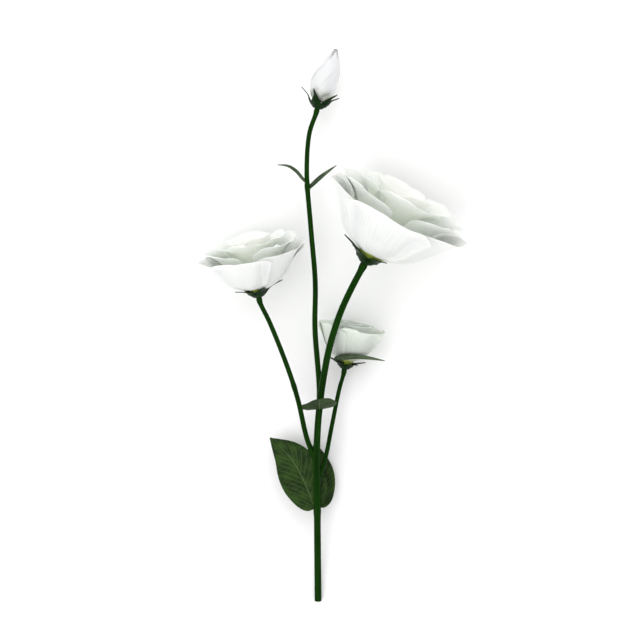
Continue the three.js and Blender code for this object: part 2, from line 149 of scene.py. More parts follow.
def normals(surface: Surface, across: np.ndarray, along: np.ndarray) -> tuple[np.ndarray, np.ndarray]:
    """Unit normals and lengthwise directions of a surface.

    Args:
        surface: gives a point for each place across (-1 to 1) and along (0 to 1).
        across: places across.
        along: places along.

    Returns:
        The normals, and the directions from foot to tip.
    """
    nudge = 2e-3
    sideways = surface(across + nudge, along) - surface(across - nudge, along)
    onwards = surface(across, np.minimum(along + nudge, 1)) - surface(across, np.maximum(along - nudge, 0))
    normal = np.cross(sideways, onwards)
    normal /= np.maximum(np.linalg.norm(normal, axis=1, keepdims=True), 1e-12)
    onwards /= np.maximum(np.linalg.norm(onwards, axis=1, keepdims=True), 1e-12)
    return normal, onwards


# ------------------------------------------------------------------ mesh work


def rows_of(obj: bpy.types.Object) -> np.ndarray:
    """The vertex coordinates of a mesh.

    Args:
        obj: the mesh object.

    Returns:
        One row for each vertex, in metres.
    """
    flat = np.empty(len(obj.data.vertices) * 3)
    obj.data.vertices.foreach_get("co", flat)
    return flat.reshape(-1, 3)


def set_rows(obj: bpy.types.Object, rows: np.ndarray) -> None:
    """Writes vertex coordinates back."""
    obj.data.vertices.foreach_set("co", np.ascontiguousarray(rows, float).ravel())
    obj.data.update()


def only(obj: bpy.types.Object) -> None:
    """Makes this object the only selected one, and the active one.

    Args:
        obj: the object.
    """
    bpy.ops.object.select_all(action="DESELECT")
    obj.select_set(True)
    bpy.context.view_layer.objects.active = obj


def sheet(name: str, columns: int, rows: int, surface: Surface) -> bpy.types.Object:
    """Adds a grid and bends it along a surface.

    Args:
        name: the object's name.
        columns: faces across.
        rows: faces along.
        surface: gives a point in millimetres for each place across and along.

    Returns:
        The open sheet, with its UV map from one edge to the other.
    """
    bpy.ops.object.select_all(action="DESELECT")
    bpy.ops.mesh.primitive_grid_add(x_subdivisions=columns, y_subdivisions=rows, size=2, calc_uvs=True)
    obj = bpy.context.object
    obj.name = obj.data.name = name
    flat = rows_of(obj)
    set_rows(obj, surface(flat[:, 0], (flat[:, 1] + 1) / 2) * MM)
    return obj


def apply(obj: bpy.types.Object, kind: str, **settings: object) -> None:
    """Adds a modifier and applies it.

    Args:
        obj: the mesh object.
        kind: the modifier's type name.
        settings: the modifier's own properties.
    """
    only(obj)
    modifier = obj.modifiers.new(kind.title(), kind)
    for key, value in settings.items():
        setattr(modifier, key, value)
    bpy.ops.object.modifier_apply(modifier=modifier.name)


def thicken(obj: bpy.types.Object, thickness: float, smooth: int = 0) -> bpy.types.Object:
    """Gives an open sheet its thickness, and smooths it.

    Args:
        obj: the sheet.
        thickness: in millimetres.
        smooth: how often its faces are divided.

    Returns:
        The same object.
    """
    apply(obj, "SOLIDIFY", thickness=thickness * MM, offset=0.0, use_even_offset=False)
    if smooth:
        apply(obj, "SUBSURF", levels=smooth, render_levels=smooth)
    only(obj)
    bpy.ops.object.shade_smooth()
    return obj


def closed(obj: bpy.types.Object) -> bpy.types.Object:
    """Joins the seam of a sheet that was bent into a tube, and closes its two ends.

    Args:
        obj: the sheet.

    Returns:
        The same object.
    """
    only(obj)
    bpy.ops.object.mode_set(mode="EDIT")
    bpy.ops.mesh.select_all(action="SELECT")
    bpy.ops.mesh.remove_doubles(threshold=1e-6)
    bpy.ops.mesh.fill_holes(sides=0)
    bpy.ops.mesh.select_all(action="SELECT")
    bpy.ops.mesh.normals_make_consistent(inside=False)
    bpy.ops.object.mode_set(mode="OBJECT")
    bpy.ops.object.shade_smooth_by_angle(angle=math.radians(50))
    return obj


def tube(
    name: str,
    route: Route,
    radius: Callable[[np.ndarray], np.ndarray],
    sides: int,
    rings: int,
    upright: Sequence[float] = (0, 0, 1),
) -> bpy.types.Object:
    """A closed round rod along a route.

    Args:
        name: the object's name.
        route: the rod's centre line.
        radius: the radius in millimetres at each share of the route.
        sides: faces around.
        rings: faces along.
        upright: a direction that the route never runs along.

    Returns:
        The rod, with its UV map's first direction around it and its second along it.
    """

    def surface(across: np.ndarray, along: np.ndarray) -> np.ndarray:
        """The rod's wall: across runs around it.

        Args:
            across: places across, -1 to 1.
            along: places along, 0 to 1.

        Returns:
            One point for each place.
        """
        angle = np.pi * across
        tangent = route.tangent(along)
        side = np.cross(tangent, np.asarray(upright, float))
        side /= np.linalg.norm(side, axis=1, keepdims=True)
        up = np.cross(side, tangent)
        outward = side * np.sin(angle)[:, None] + up * np.cos(angle)[:, None]
        return route.point(along) + radius(along)[:, None] * outward

    return closed(sheet(name, sides, rings, surface))


def joined(name: str, pieces: Sequence[bpy.types.Object]) -> bpy.types.Object:
    """Joins pieces into one object.

    Args:
        name: the object's name.
        pieces: the pieces; the first one takes in the others.

    Returns:
        The joined object.
    """
    bpy.ops.object.select_all(action="DESELECT")
    for piece in pieces:
        piece.select_set(True)
    bpy.context.view_layer.objects.active = pieces[0]
    if len(pieces) > 1:
        bpy.ops.object.join()
    pieces[0].name = pieces[0].data.name = name
    return pieces[0]


# ------------------------------------------------------------------ finishes


class Nodes:
    """Adds nodes to one node tree, left to right."""

    def __init__(self, tree: bpy.types.NodeTree) -> None:
        """Keeps the tree to add to."""
        self.tree = tree

    def feed(self, node: bpy.types.Node, inputs: dict) -> None:
        """Sets a node's inputs.

        Args:
            node: the node.
            inputs: input name or number to a value, or to the socket that feeds it.
        """
        for key, value in inputs.items():
            if isinstance(value, bpy.types.NodeSocket):
                self.tree.links.new(value, node.inputs[key])
            else:
                node.inputs[key].default_value = value

    def add(self, kind: str, inputs: dict | None = None, **settings: object) -> bpy.types.Node:
        """Adds a node.

        Args:
            kind: the node's type name.
            inputs: input name or number to a value, or to the socket that feeds it.
            settings: the node's own properties.

        Returns:
            The node.
        """
        node = self.tree.nodes.new(kind)
        node.location = (180 * len(self.tree.nodes), 0)
        for key, value in settings.items():
            setattr(node, key, value)
        self.feed(node, inputs or {})
        return node

    def math(self, operation: str, first: object, second: object = 0.5) -> bpy.types.NodeSocket:
        """The result of a Math node."""
        return self.add("ShaderNodeMath", {0: first, 1: second}, operation=operation).outputs[0]

    def times(self, first: object, second: object) -> bpy.types.NodeSocket:
        """The product of two numbers."""
        return self.math("MULTIPLY", first, second)

    def plus(self, first: object, second: object) -> bpy.types.NodeSocket:
        """The sum of two numbers."""
        return self.math("ADD", first, second)

    def spread(
        self, value: object, low: float, high: float, to_low: float = 0, to_high: float = 1
    ) -> bpy.types.NodeSocket:
        """A value mapped from low..high onto to_low..to_high, smoothly and with its ends kept."""
        inputs = {0: value, 1: low, 2: high, 3: to_low, 4: to_high}
        return self.add("ShaderNodeMapRange", inputs, interpolation_type="SMOOTHSTEP").outputs[0]

    def mix(self, factor: object, first: object, second: object) -> bpy.types.NodeSocket:
        """Two colours mixed by a factor."""
        return self.add("ShaderNodeMix", {0: factor, 6: first, 7: second}, data_type="RGBA").outputs[2]

    def noise(
        self, vector: object, scale: object, detail: float = 3, roughness: float = 0.5
    ) -> bpy.types.NodeSocket:
        """The value of a noise texture."""
        inputs = {"Vector": vector, "Scale": scale, "Detail": detail, "Roughness": roughness}
        return self.add("ShaderNodeTexNoise", inputs).outputs["Fac"]

    def vector(self, x: object, y: object, z: object = 0.0) -> bpy.types.NodeSocket:
        """Three numbers as one vector."""
        return self.add("ShaderNodeCombineXYZ", {0: x, 1: y, 2: z}).outputs[0]

    def place(self) -> bpy.types.NodeSocket:
        """The place on the object, in metres."""
        return self.add("ShaderNodeTexCoord").outputs["Object"]

    def uv(self) -> tuple[bpy.types.NodeSocket, bpy.types.NodeSocket]:
        """The place in the UV map: across, and along from foot to tip."""
        split = self.add("ShaderNodeSeparateXYZ", {0: self.add("ShaderNodeUVMap").outputs[0]})
        return split.outputs["X"], split.outputs["Y"]


def group(
    name: str, inputs: dict[str, float], outputs: Sequence[str], fill: Callable
) -> bpy.types.NodeTree:
    """A shader node group, made once.

    Args:
        name: the group's name.
        inputs: names of the number inputs, with their defaults.
        outputs: names of the number outputs.
        fill: called with Nodes, the group's input node and its output node.

    Returns:
        The group's node tree.
    """
    found = bpy.data.node_groups.get(name)
    if found:
        return found
    tree = bpy.data.node_groups.new(name, "ShaderNodeTree")
    for key, value in inputs.items():
        tree.interface.new_socket(key, in_out="INPUT", socket_type="NodeSocketFloat").default_value = value
    for key in outputs:
        tree.interface.new_socket(key, in_out="OUTPUT", socket_type="NodeSocketFloat")
    nodes = Nodes(tree)
    fill(nodes, nodes.add("NodeGroupInput"), nodes.add("NodeGroupOutput"))
    return tree


def fan_veins(nodes: Nodes, source: bpy.types.Node, result: bpy.types.Node) -> None:
    """Fine veins that fan out from the foot of a petal, as its UV map does.

    Args:
        nodes: adds to the group's tree.
        source: the group's input node.
        result: the group's output node.
    """
    x, y = nodes.uv()
    drift = nodes.noise(nodes.add("ShaderNodeUVMap").outputs[0], 5.0, 2)
    across = nodes.plus(x, nodes.times(drift, 0.05))
    fan = nodes.times(across, source.outputs["Count"])
    lines = nodes.vector(fan, nodes.times(y, 1.6), source.outputs["Seed"])
    vein = nodes.spread(nodes.noise(lines, 1.0, 4, 0.6), 0.42, 0.72)
    uneven = nodes.spread(nodes.noise(nodes.place(), 75.0, 3), 0.36, 0.62, 0.15, 1.0)
    fade = nodes.times(nodes.spread(y, 0.25, 1.0, 1.0, 0.25), uneven)
    nodes.feed(result, {"Veins": nodes.times(vein, fade), "Along": y})


def grain(nodes: Nodes, source: bpy.types.Node, result: bpy.types.Node) -> None:
    """Uneven patches and a fine grain, the same size all over.

    Args:
        nodes: adds to the group's tree.
        source: the group's input node.
        result: the group's output node.
    """
    place = nodes.place()
    patches = nodes.noise(place, source.outputs["Patch scale"], 3.0)
    fine = nodes.noise(place, source.outputs["Grain scale"], 2.0)
    nodes.feed(result, {"Patches": nodes.spread(patches, 0.35, 0.65), "Grain": fine})


def leaf_veins(nodes: Nodes, source: bpy.types.Node, result: bpy.types.Node) -> None:
    """The midrib, arching side veins and fine net of a leaf, from its UV map.

    Args:
        nodes: adds to the group's tree.
        source: the group's input node.
        result: the group's output node.
    """
    x, y = nodes.uv()
    side = nodes.math("ABSOLUTE", nodes.math("SUBTRACT", x, 0.5))
    midrib = nodes.spread(side, 0.004, 0.018, 1.0, 0.0)
    climb = nodes.math("SUBTRACT", y, nodes.times(nodes.math("POWER", side, 0.75), 0.5))
    phase = nodes.math("FRACT", nodes.times(climb, source.outputs["Pairs"]))
    distance = nodes.math("ABSOLUTE", nodes.math("SUBTRACT", phase, 0.5))
    outer = nodes.spread(side, 0.3, 0.5, 1.0, 0.1)
    ribs = nodes.times(nodes.spread(distance, 0.02, 0.1, 1.0, 0.0), outer)
    stretched = nodes.vector(x, nodes.times(climb, 1.9))
    inputs = {"Vector": stretched, "Scale": 26.0, "Randomness": 0.9}
    cells = nodes.add("ShaderNodeTexVoronoi", inputs, feature="DISTANCE_TO_EDGE")
    net = nodes.spread(cells.outputs["Distance"], 0.0, 0.09, 1.0, 0.0)
    nodes.feed(result, {"Ribs": nodes.math("MAXIMUM", midrib, nodes.times(ribs, 0.55)), "Net": net})


Colour = tuple[float, float, float, float]


def shade(hexadecimal: str) -> Colour:
    """A linear colour from an sRGB one such as "ddeeff"."""
    values = [int(hexadecimal[i : i + 2], 16) / 255 for i in (0, 2, 4)]
    return (*[v / 12.92 if v <= 0.04045 else ((v + 0.055) / 1.055) ** 2.4 for v in values], 1.0)


class Finish:
    """A material that is built the first time it is asked for."""

    name: str

    def material(self) -> bpy.types.Material:
        """Makes the material, or finds it if it has been made.

        Returns:
            The material.
        """
        found = bpy.data.materials.get(self.name)
        if found:
            return found
        made = bpy.data.materials.new(self.name)
        made.use_nodes = True
        made.node_tree.nodes.clear()
        nodes = Nodes(made.node_tree)
        shader = nodes.add("ShaderNodeBsdfPrincipled", {"Metallic": 0.0})
        nodes.add("ShaderNodeOutputMaterial", {"Surface": shader.outputs[0]})
        self.dress(nodes, shader)
        return made

    def dress(self, nodes: Nodes, shader: bpy.types.Node) -> None:
        """Adds the colours, roughness and relief."""
        raise NotImplementedError

    @staticmethod
    def relief(
        nodes: Nodes, shader: bpy.types.Node, height: object, depth: float, strength: float
    ) -> None:
        """Feeds a height in millimetres of depth to the shader's normal."""
        inputs = {"Height": height, "Distance": depth * MM, "Strength": strength}
        nodes.feed(shader, {"Normal": nodes.add("ShaderNodeBump", inputs).outputs[0]})

    @staticmethod
    def effect(
        nodes: Nodes, name: str, inputs: dict[str, float], outputs: Sequence[str], fill: Callable
    ) -> list[bpy.types.NodeSocket]:
        """Places a shared effect with this finish's own values."""
        placed = nodes.add("ShaderNodeGroup", inputs, node_tree=group(name, inputs, outputs, fill))
        return [placed.outputs[key] for key in outputs]

    def grained(self, nodes: Nodes, patch: float, fine: float) -> list[bpy.types.NodeSocket]:
        """Uneven patches and a fine grain, at these scales."""
        scales = {"Patch scale": patch, "Grain scale": fine}
        return self.effect(nodes, "grain", scales, ["Patches", "Grain"], grain)

    def veined(self, nodes: Nodes, count: float, seed: float) -> list[bpy.types.NodeSocket]:
        """Fanning veins, and the place along the petal."""
        inputs = {"Count": count, "Seed": seed}
        return self.effect(nodes, "petal_veins", inputs, ["Veins", "Along"], fan_veins)


@dataclass(frozen=True)
class PetalFinish(Finish):
    """Soft white petal: green-yellow at its foot, a painted grey-green shade below its rim, faint fanning
    veins.
    """

    name: str
    rim: str
    # middle: painted grey-green shade below the rim, mixed with the petal's own green tint
    middle: str
    vein: str
    vein_share: float
    seed: float
    foot: str = "afc43e"
    tip: str | None = None
    count: float = 46.0

    def dress(self, nodes: Nodes, shader: bpy.types.Node) -> None:
        """Adds the colours, roughness and relief.

        Args:
            nodes: adds to the material's tree.
            shader: the material's shader node.
        """
        veins, along = self.veined(nodes, self.count, self.seed)
        patches, fine = self.grained(nodes, 90.0, 2400.0)
        # painted shade: the middle colour darkens the petal below its rim, towards its foot
        colour = nodes.mix(nodes.spread(along, 0.35, 0.97), shade(self.middle), shade(self.rim))
        colour = nodes.mix(nodes.times(patches, 0.25), colour, shade(self.rim))
        colour = nodes.mix(nodes.times(veins, self.vein_share), colour, shade(self.vein))
        colour = nodes.mix(nodes.spread(along, 0.12, 0.25, 0.95, 0.0), colour, shade(self.foot))
        if self.tip:
            colour = nodes.mix(nodes.spread(along, 0.945, 0.965), colour, shade(self.tip))
        values = {
            "Base Color": colour,
            "Roughness": nodes.spread(fine, 0.2, 0.8, 0.52, 0.66),
            "Sheen Weight": 0.12,
            "Subsurface Weight": 0.7,
            "Subsurface Radius": (1.0, 1.0, 0.9),
            "Subsurface Scale": 0.0012,
            "Specular IOR Level": 0.3,
        }
        nodes.feed(shader, values)
        self.relief(nodes, shader, nodes.plus(veins, nodes.times(fine, 0.35)), 0.12, 0.55)


@dataclass(frozen=True)
class StemFinish(Finish):
    """Smooth deep green stem with long streaks and a thin grey bloom."""

    name: str
    dark: str = "041a01"
    light: str = "153f05"
    bloom: str = "16360c"

    def dress(self, nodes: Nodes, shader: bpy.types.Node) -> None:
        """Adds the colours, roughness and relief.

        Args:
            nodes: adds to the material's tree.
            shader: the material's shader node.
        """
        x, y = nodes.uv()
        angle = nodes.times(x, 2 * math.pi)
        ring = [nodes.times(nodes.math(part, angle), 3.2) for part in ("SINE", "COSINE")]
        streaks = nodes.noise(nodes.vector(*ring, nodes.times(y, 5.0)), 1.3, 4)
        patches, fine = self.grained(nodes, 70.0, 1800.0)
        colour = nodes.mix(nodes.spread(streaks, 0.3, 0.72), shade(self.dark), shade(self.light))
        colour = nodes.mix(nodes.times(patches, 0.22), colour, shade(self.bloom))
        rough = nodes.spread(patches, 0, 1, 0.34, 0.52)
        nodes.feed(shader, {"Base Color": colour, "Roughness": rough, "Specular IOR Level": 0.03})
        self.relief(nodes, shader, nodes.plus(streaks, nodes.times(fine, 0.2)), 0.15, 0.5)


@dataclass(frozen=True)
class CutFinish(Finish):
    """The pale, wet cut end of the stem."""

    name: str = "stem_cut"

    def dress(self, nodes: Nodes, shader: bpy.types.Node) -> None:
        """Adds the colours, roughness and relief.

        Args:
            nodes: adds to the material's tree.
            shader: the material's shader node.
        """
        patches, fine = self.grained(nodes, 900.0, 4000.0)
        colour = nodes.mix(patches, shade("9fb26a"), shade("d3d9a8"))
        nodes.feed(shader, {"Base Color": colour, "Roughness": 0.4})
        self.relief(nodes, shader, fine, 0.1, 0.6)


@dataclass(frozen=True)
class LeafFinish(Finish):
    """Matt grey-green leaf with pale veins."""

    name: str
    dark: str = "102704"
    light: str = "294412"
    vein: str = "5c7048"
    pairs: float = 13.0
    net: float = 0.28

    def dress(self, nodes: Nodes, shader: bpy.types.Node) -> None:
        """Adds the colours, roughness and relief.

        Args:
            nodes: adds to the material's tree.
            shader: the material's shader node.
        """
        ribs, net = self.effect(nodes, "leaf_veins", {"Pairs": self.pairs}, ["Ribs", "Net"], leaf_veins)
        patches, fine = self.grained(nodes, 120.0, 2200.0)
        colour = nodes.mix(patches, shade(self.dark), shade(self.light))
        colour = nodes.mix(nodes.times(net, self.net), colour, shade(self.vein))
        colour = nodes.mix(nodes.times(ribs, 0.75), colour, shade(self.vein))
        rough = nodes.spread(fine, 0.2, 0.8, 0.5, 0.68)
        nodes.feed(shader, {"Base Color": colour, "Roughness": rough, "Specular IOR Level": 0.1})
        height = nodes.math("SUBTRACT", nodes.plus(nodes.times(net, -0.4), fine), ribs)
        self.relief(nodes, shader, height, 0.2, 0.6)


@dataclass(frozen=True)
class CalyxFinish(Finish):
    """Dark green calyx, lighter along fine fanning veins and in patches."""

    name: str = "calyx_green"
    dark: str = "021700"
    light: str = "123c08"

    def dress(self, nodes: Nodes, shader: bpy.types.Node) -> None:
        """Adds the colours, roughness and relief.

        Args:
            nodes: adds to the material's tree.
            shader: the material's shader node.
        """
        veins, _ = self.veined(nodes, 14.0, 7.0)
        patches, fine = self.grained(nodes, 260.0, 2600.0)
        share = nodes.plus(nodes.times(veins, 0.7), nodes.times(patches, 0.3))
        colour = nodes.mix(share, shade(self.dark), shade(self.light))
        rough = nodes.spread(fine, 0.2, 0.8, 0.38, 0.55)
        nodes.feed(shader, {"Base Color": colour, "Roughness": rough, "Specular IOR Level": 0.1})
        self.relief(nodes, shader, nodes.plus(veins, nodes.times(fine, 0.3)), 0.15, 0.6)


@dataclass(frozen=True)
class HeartFinish(Finish):
    """Stamens and pistil: one colour with a powdery grain."""

    name: str
    dark: str
    light: str
    roughness: float = 0.8

    def dress(self, nodes: Nodes, shader: bpy.types.Node) -> None:
        """Adds the colours, roughness and relief.

        Args:
            nodes: adds to the material's tree.
            shader: the material's shader node.
        """
        _, fine = self.grained(nodes, 500.0, 3600.0)
        colour = nodes.mix(fine, shade(self.dark), shade(self.light))
        nodes.feed(shader, {"Base Color": colour, "Roughness": self.roughness})
        self.relief(nodes, shader, fine, 0.15, 0.7)


class Look(Enum):
    """Every finish on the spray, under a grower's name."""

    OUTER_PETAL = PetalFinish(
        "outer_petal", rim="fafcf8", middle="f3f6f0", vein="b9c0b4", vein_share=0.7, seed=1.0
    )
    # The second and third rows' middle colours are painted grey-green shade for petals that sit under the
    # outer ones, partly their own green tint.
    SECOND_PETAL = PetalFinish(
        "second_petal", rim="fafef7", middle="e5f4df", vein="bccdb6", vein_share=0.45, seed=4.0
    )
    THIRD_PETAL = PetalFinish(
        "third_petal", rim="fafef5", middle="e4f2db", vein="bccdb3", vein_share=0.45, seed=9.0
    )
    HEART_PETAL = PetalFinish(
        "heart_petal", rim="fefefa", middle="fbf8ea", vein="ece7c6", vein_share=0.3, seed=12.0
    )
    # Painted shade: the half-open flower is white, and its cup and furled petals are painted grey to stand
    # for the shade they lie in.
    CUP_PETAL = PetalFinish(
        "shaded_cup_petal", rim="e0eadc", middle="b9bdb7", vein="a0a59e", vein_share=0.45, seed=15.0
    )
    BUD_PETAL = PetalFinish(
        "bud_petal", rim="fcfdfb", middle="f6f8f4", foot="dfe5cf", vein="dde1d8", vein_share=0.4,
        tip="5a4128", seed=20.0, count=60.0
    )
    STEM = StemFinish("stem_green")
    CUT = CutFinish()
    LEAF = LeafFinish("leaf_green")
    BRACT = LeafFinish("bract_green", dark="2f3f29", light="55654a", vein="6f7d63", pairs=4.0, net=0.2)
    CALYX = CalyxFinish()
    ANTHER = HeartFinish("anther_yellow", "b98a1e", "e9c65a", 0.85)
    FILAMENT = HeartFinish("filament_pale", "c9cf8e", "e6e8b8", 0.6)
    PISTIL = HeartFinish("pistil_green", "7f9238", "b9c465", 0.5)


def paint(obj: bpy.types.Object, look: Look) -> None:
    """Gives a piece one finish."""
    obj.data.materials.clear()
    obj.data.materials.append(look.value.material())


def settle(obj: bpy.types.Object, slot: str, *nodes: str) -> bpy.types.Object:
    """Hands a finished piece to the frame.

    Args:
        obj: the piece, in place.
        slot: the record's material slot; not used.
        nodes: the CAD nodes that it stands for.

    Returns:
        The piece.
    """
    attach(obj, BODY)
    if nodes:
        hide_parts(*nodes)
    log.info("%s: %d faces", obj.name, len(obj.data.polygons))
    return obj


# ------------------------------------------------------------------ flowers


@dataclass(frozen=True)
class Whorl:
    """One ring of petals. Profile points are [out, up] in flower radii, after the foot on the calyx.

    Bellies and lifts say how far each petal's middle and right edge stand out, in flower radii, and shares
    how much of its reach it keeps.
    """

    name: str
    azimuths: tuple[float, ...]
    foot: float
    reach: float
    lap: float
    over: tuple[int, ...]
    rounding: float
    profile: tuple[tuple[float, float], ...]
    look: Look
    ruffle: float
    curl: float
    slot: str = "petal"
    bellies: tuple[float, ...] = ()
    lifts: tuple[float, ...] = ()
    shares: tuple[float, ...] = ()


DOUBLE_WHORLS = (
    Whorl(
        "outer", (0, 72, 144, 216, 288), foot=0.72, reach=50, lap=0.038, over=(1, -1, 1, -1, -1),
        rounding=0.2, profile=((0.25, 0.215), (0.52, 0.37), (0.8, 0.7), (1.0, 0.86)),
        look=Look.OUTER_PETAL, ruffle=0.8, curl=0.5,
        bellies=(0, 0.055, 0, 0, 0.035), lifts=(0.04, 0, 0, 0, 0), shares=(0.85, 1, 1, 1, 1),
    ),
    Whorl(
        "second", (66, 129, 192, 255, 318), foot=0.53, reach=44, lap=0.04, over=(-1, -1, -1, -1, -1),
        rounding=0.18, profile=((0.17, 0.27), (0.37, 0.49), (0.64, 0.84), (0.88, 1.01)),
        look=Look.SECOND_PETAL, ruffle=0.85, curl=0.9,
    ),
    Whorl(
        "third", (16, 106, 196, 286), foot=0.37, reach=55, lap=0.031, over=(-1, -1, -1, -1),
        rounding=0.18, profile=((0.115, 0.31), (0.24, 0.56), (0.44, 0.91), (0.66, 1.1)),
        look=Look.THIRD_PETAL, ruffle=0.75, curl=0.9, slot="inner_petal",
    ),
    Whorl(
        "inner", (60, 180, 300), foot=0.18, reach=66, lap=0.024, over=(-1, -1, -1),
        rounding=0.2, profile=((0.07, 0.37), (0.14, 0.62), (0.27, 0.94), (0.4, 1.14)),
        look=Look.HEART_PETAL, ruffle=0.5, curl=0.7, slot="inner_petal",
    ),
)

CUP_WHORL = Whorl(
    "outer", (12, 84, 156, 228, 300), foot=0.72, reach=53, lap=0.06, over=(-1, -1, -1, -1, -1),
    rounding=0.14, profile=((0.42, 0.42), (0.72, 0.72), (0.92, 1.14), (1.0, 1.46)),
    look=Look.CUP_PETAL, ruffle=0.22, curl=1.6,
)

FOOT_SHARE = 0.72  # half the angle that a petal's foot covers, as a share of its room
NESTLE = 0.55  # how near the thin petals lie to each other, as a share of the frame's laps


@dataclass(frozen=True)
class CalyxSize:
    """A calyx cup's radius and height, and the length of its sepals."""

    radius: float
    height: float
    sepal: float


@dataclass
class Head:
    """Where a flower's calyx is and how the flower lies: its plan place, lean and lift, in degrees."""

    x: float
    y: float
    lean: float
    lift: float
    origin: np.ndarray = field(default_factory=lambda: np.zeros(3))

    @property
    def turn(self) -> np.ndarray:
        """The rotation from the flower's own frame to the spray's."""
        lean = Matrix.Rotation(-math.radians(self.lean), 3, "Z")
        return np.array(lean @ Matrix.Rotation(math.radians(self.lift - 90), 3, "X"))

    def place(self, rows: np.ndarray) -> np.ndarray:
        """Points of the flower's own frame, in the row frame and millimetres."""
        return rows @ self.turn.T + self.origin

    def lying(self, surface: Surface) -> Surface:
        """A surface of the flower, in place; what would go through the table spreads out on it instead."""
        return lambda across, along: on_table(self.place(surface(across, along)), PETALS_LOWEST)


def around(azimuth: np.ndarray) -> np.ndarray:
    """Directions out from a flower's axis, at azimuths in degrees."""
    angle = np.radians(azimuth)
    return np.stack([np.sin(angle), -np.cos(angle), np.zeros_like(angle)], axis=-1)


def ring(across: np.ndarray, out: np.ndarray) -> np.ndarray:
    """Points of a round solid at distances out from its axis, with across running once around it."""
    return around(across * 180) * out[:, None]


def on_table(rows: np.ndarray, lowest: float) -> np.ndarray:
    """Lays whatever would be lower than a height softly out at that height.

    Args:
        rows: points in place, which are changed.
        lowest: the height over the table.

    Returns:
        The points.
    """
    over = (rows[:, 2] - lowest) / TABLE_SOFTNESS
    rows[:, 2] = lowest + TABLE_SOFTNESS * np.logaddexp(0, over)
    return rows


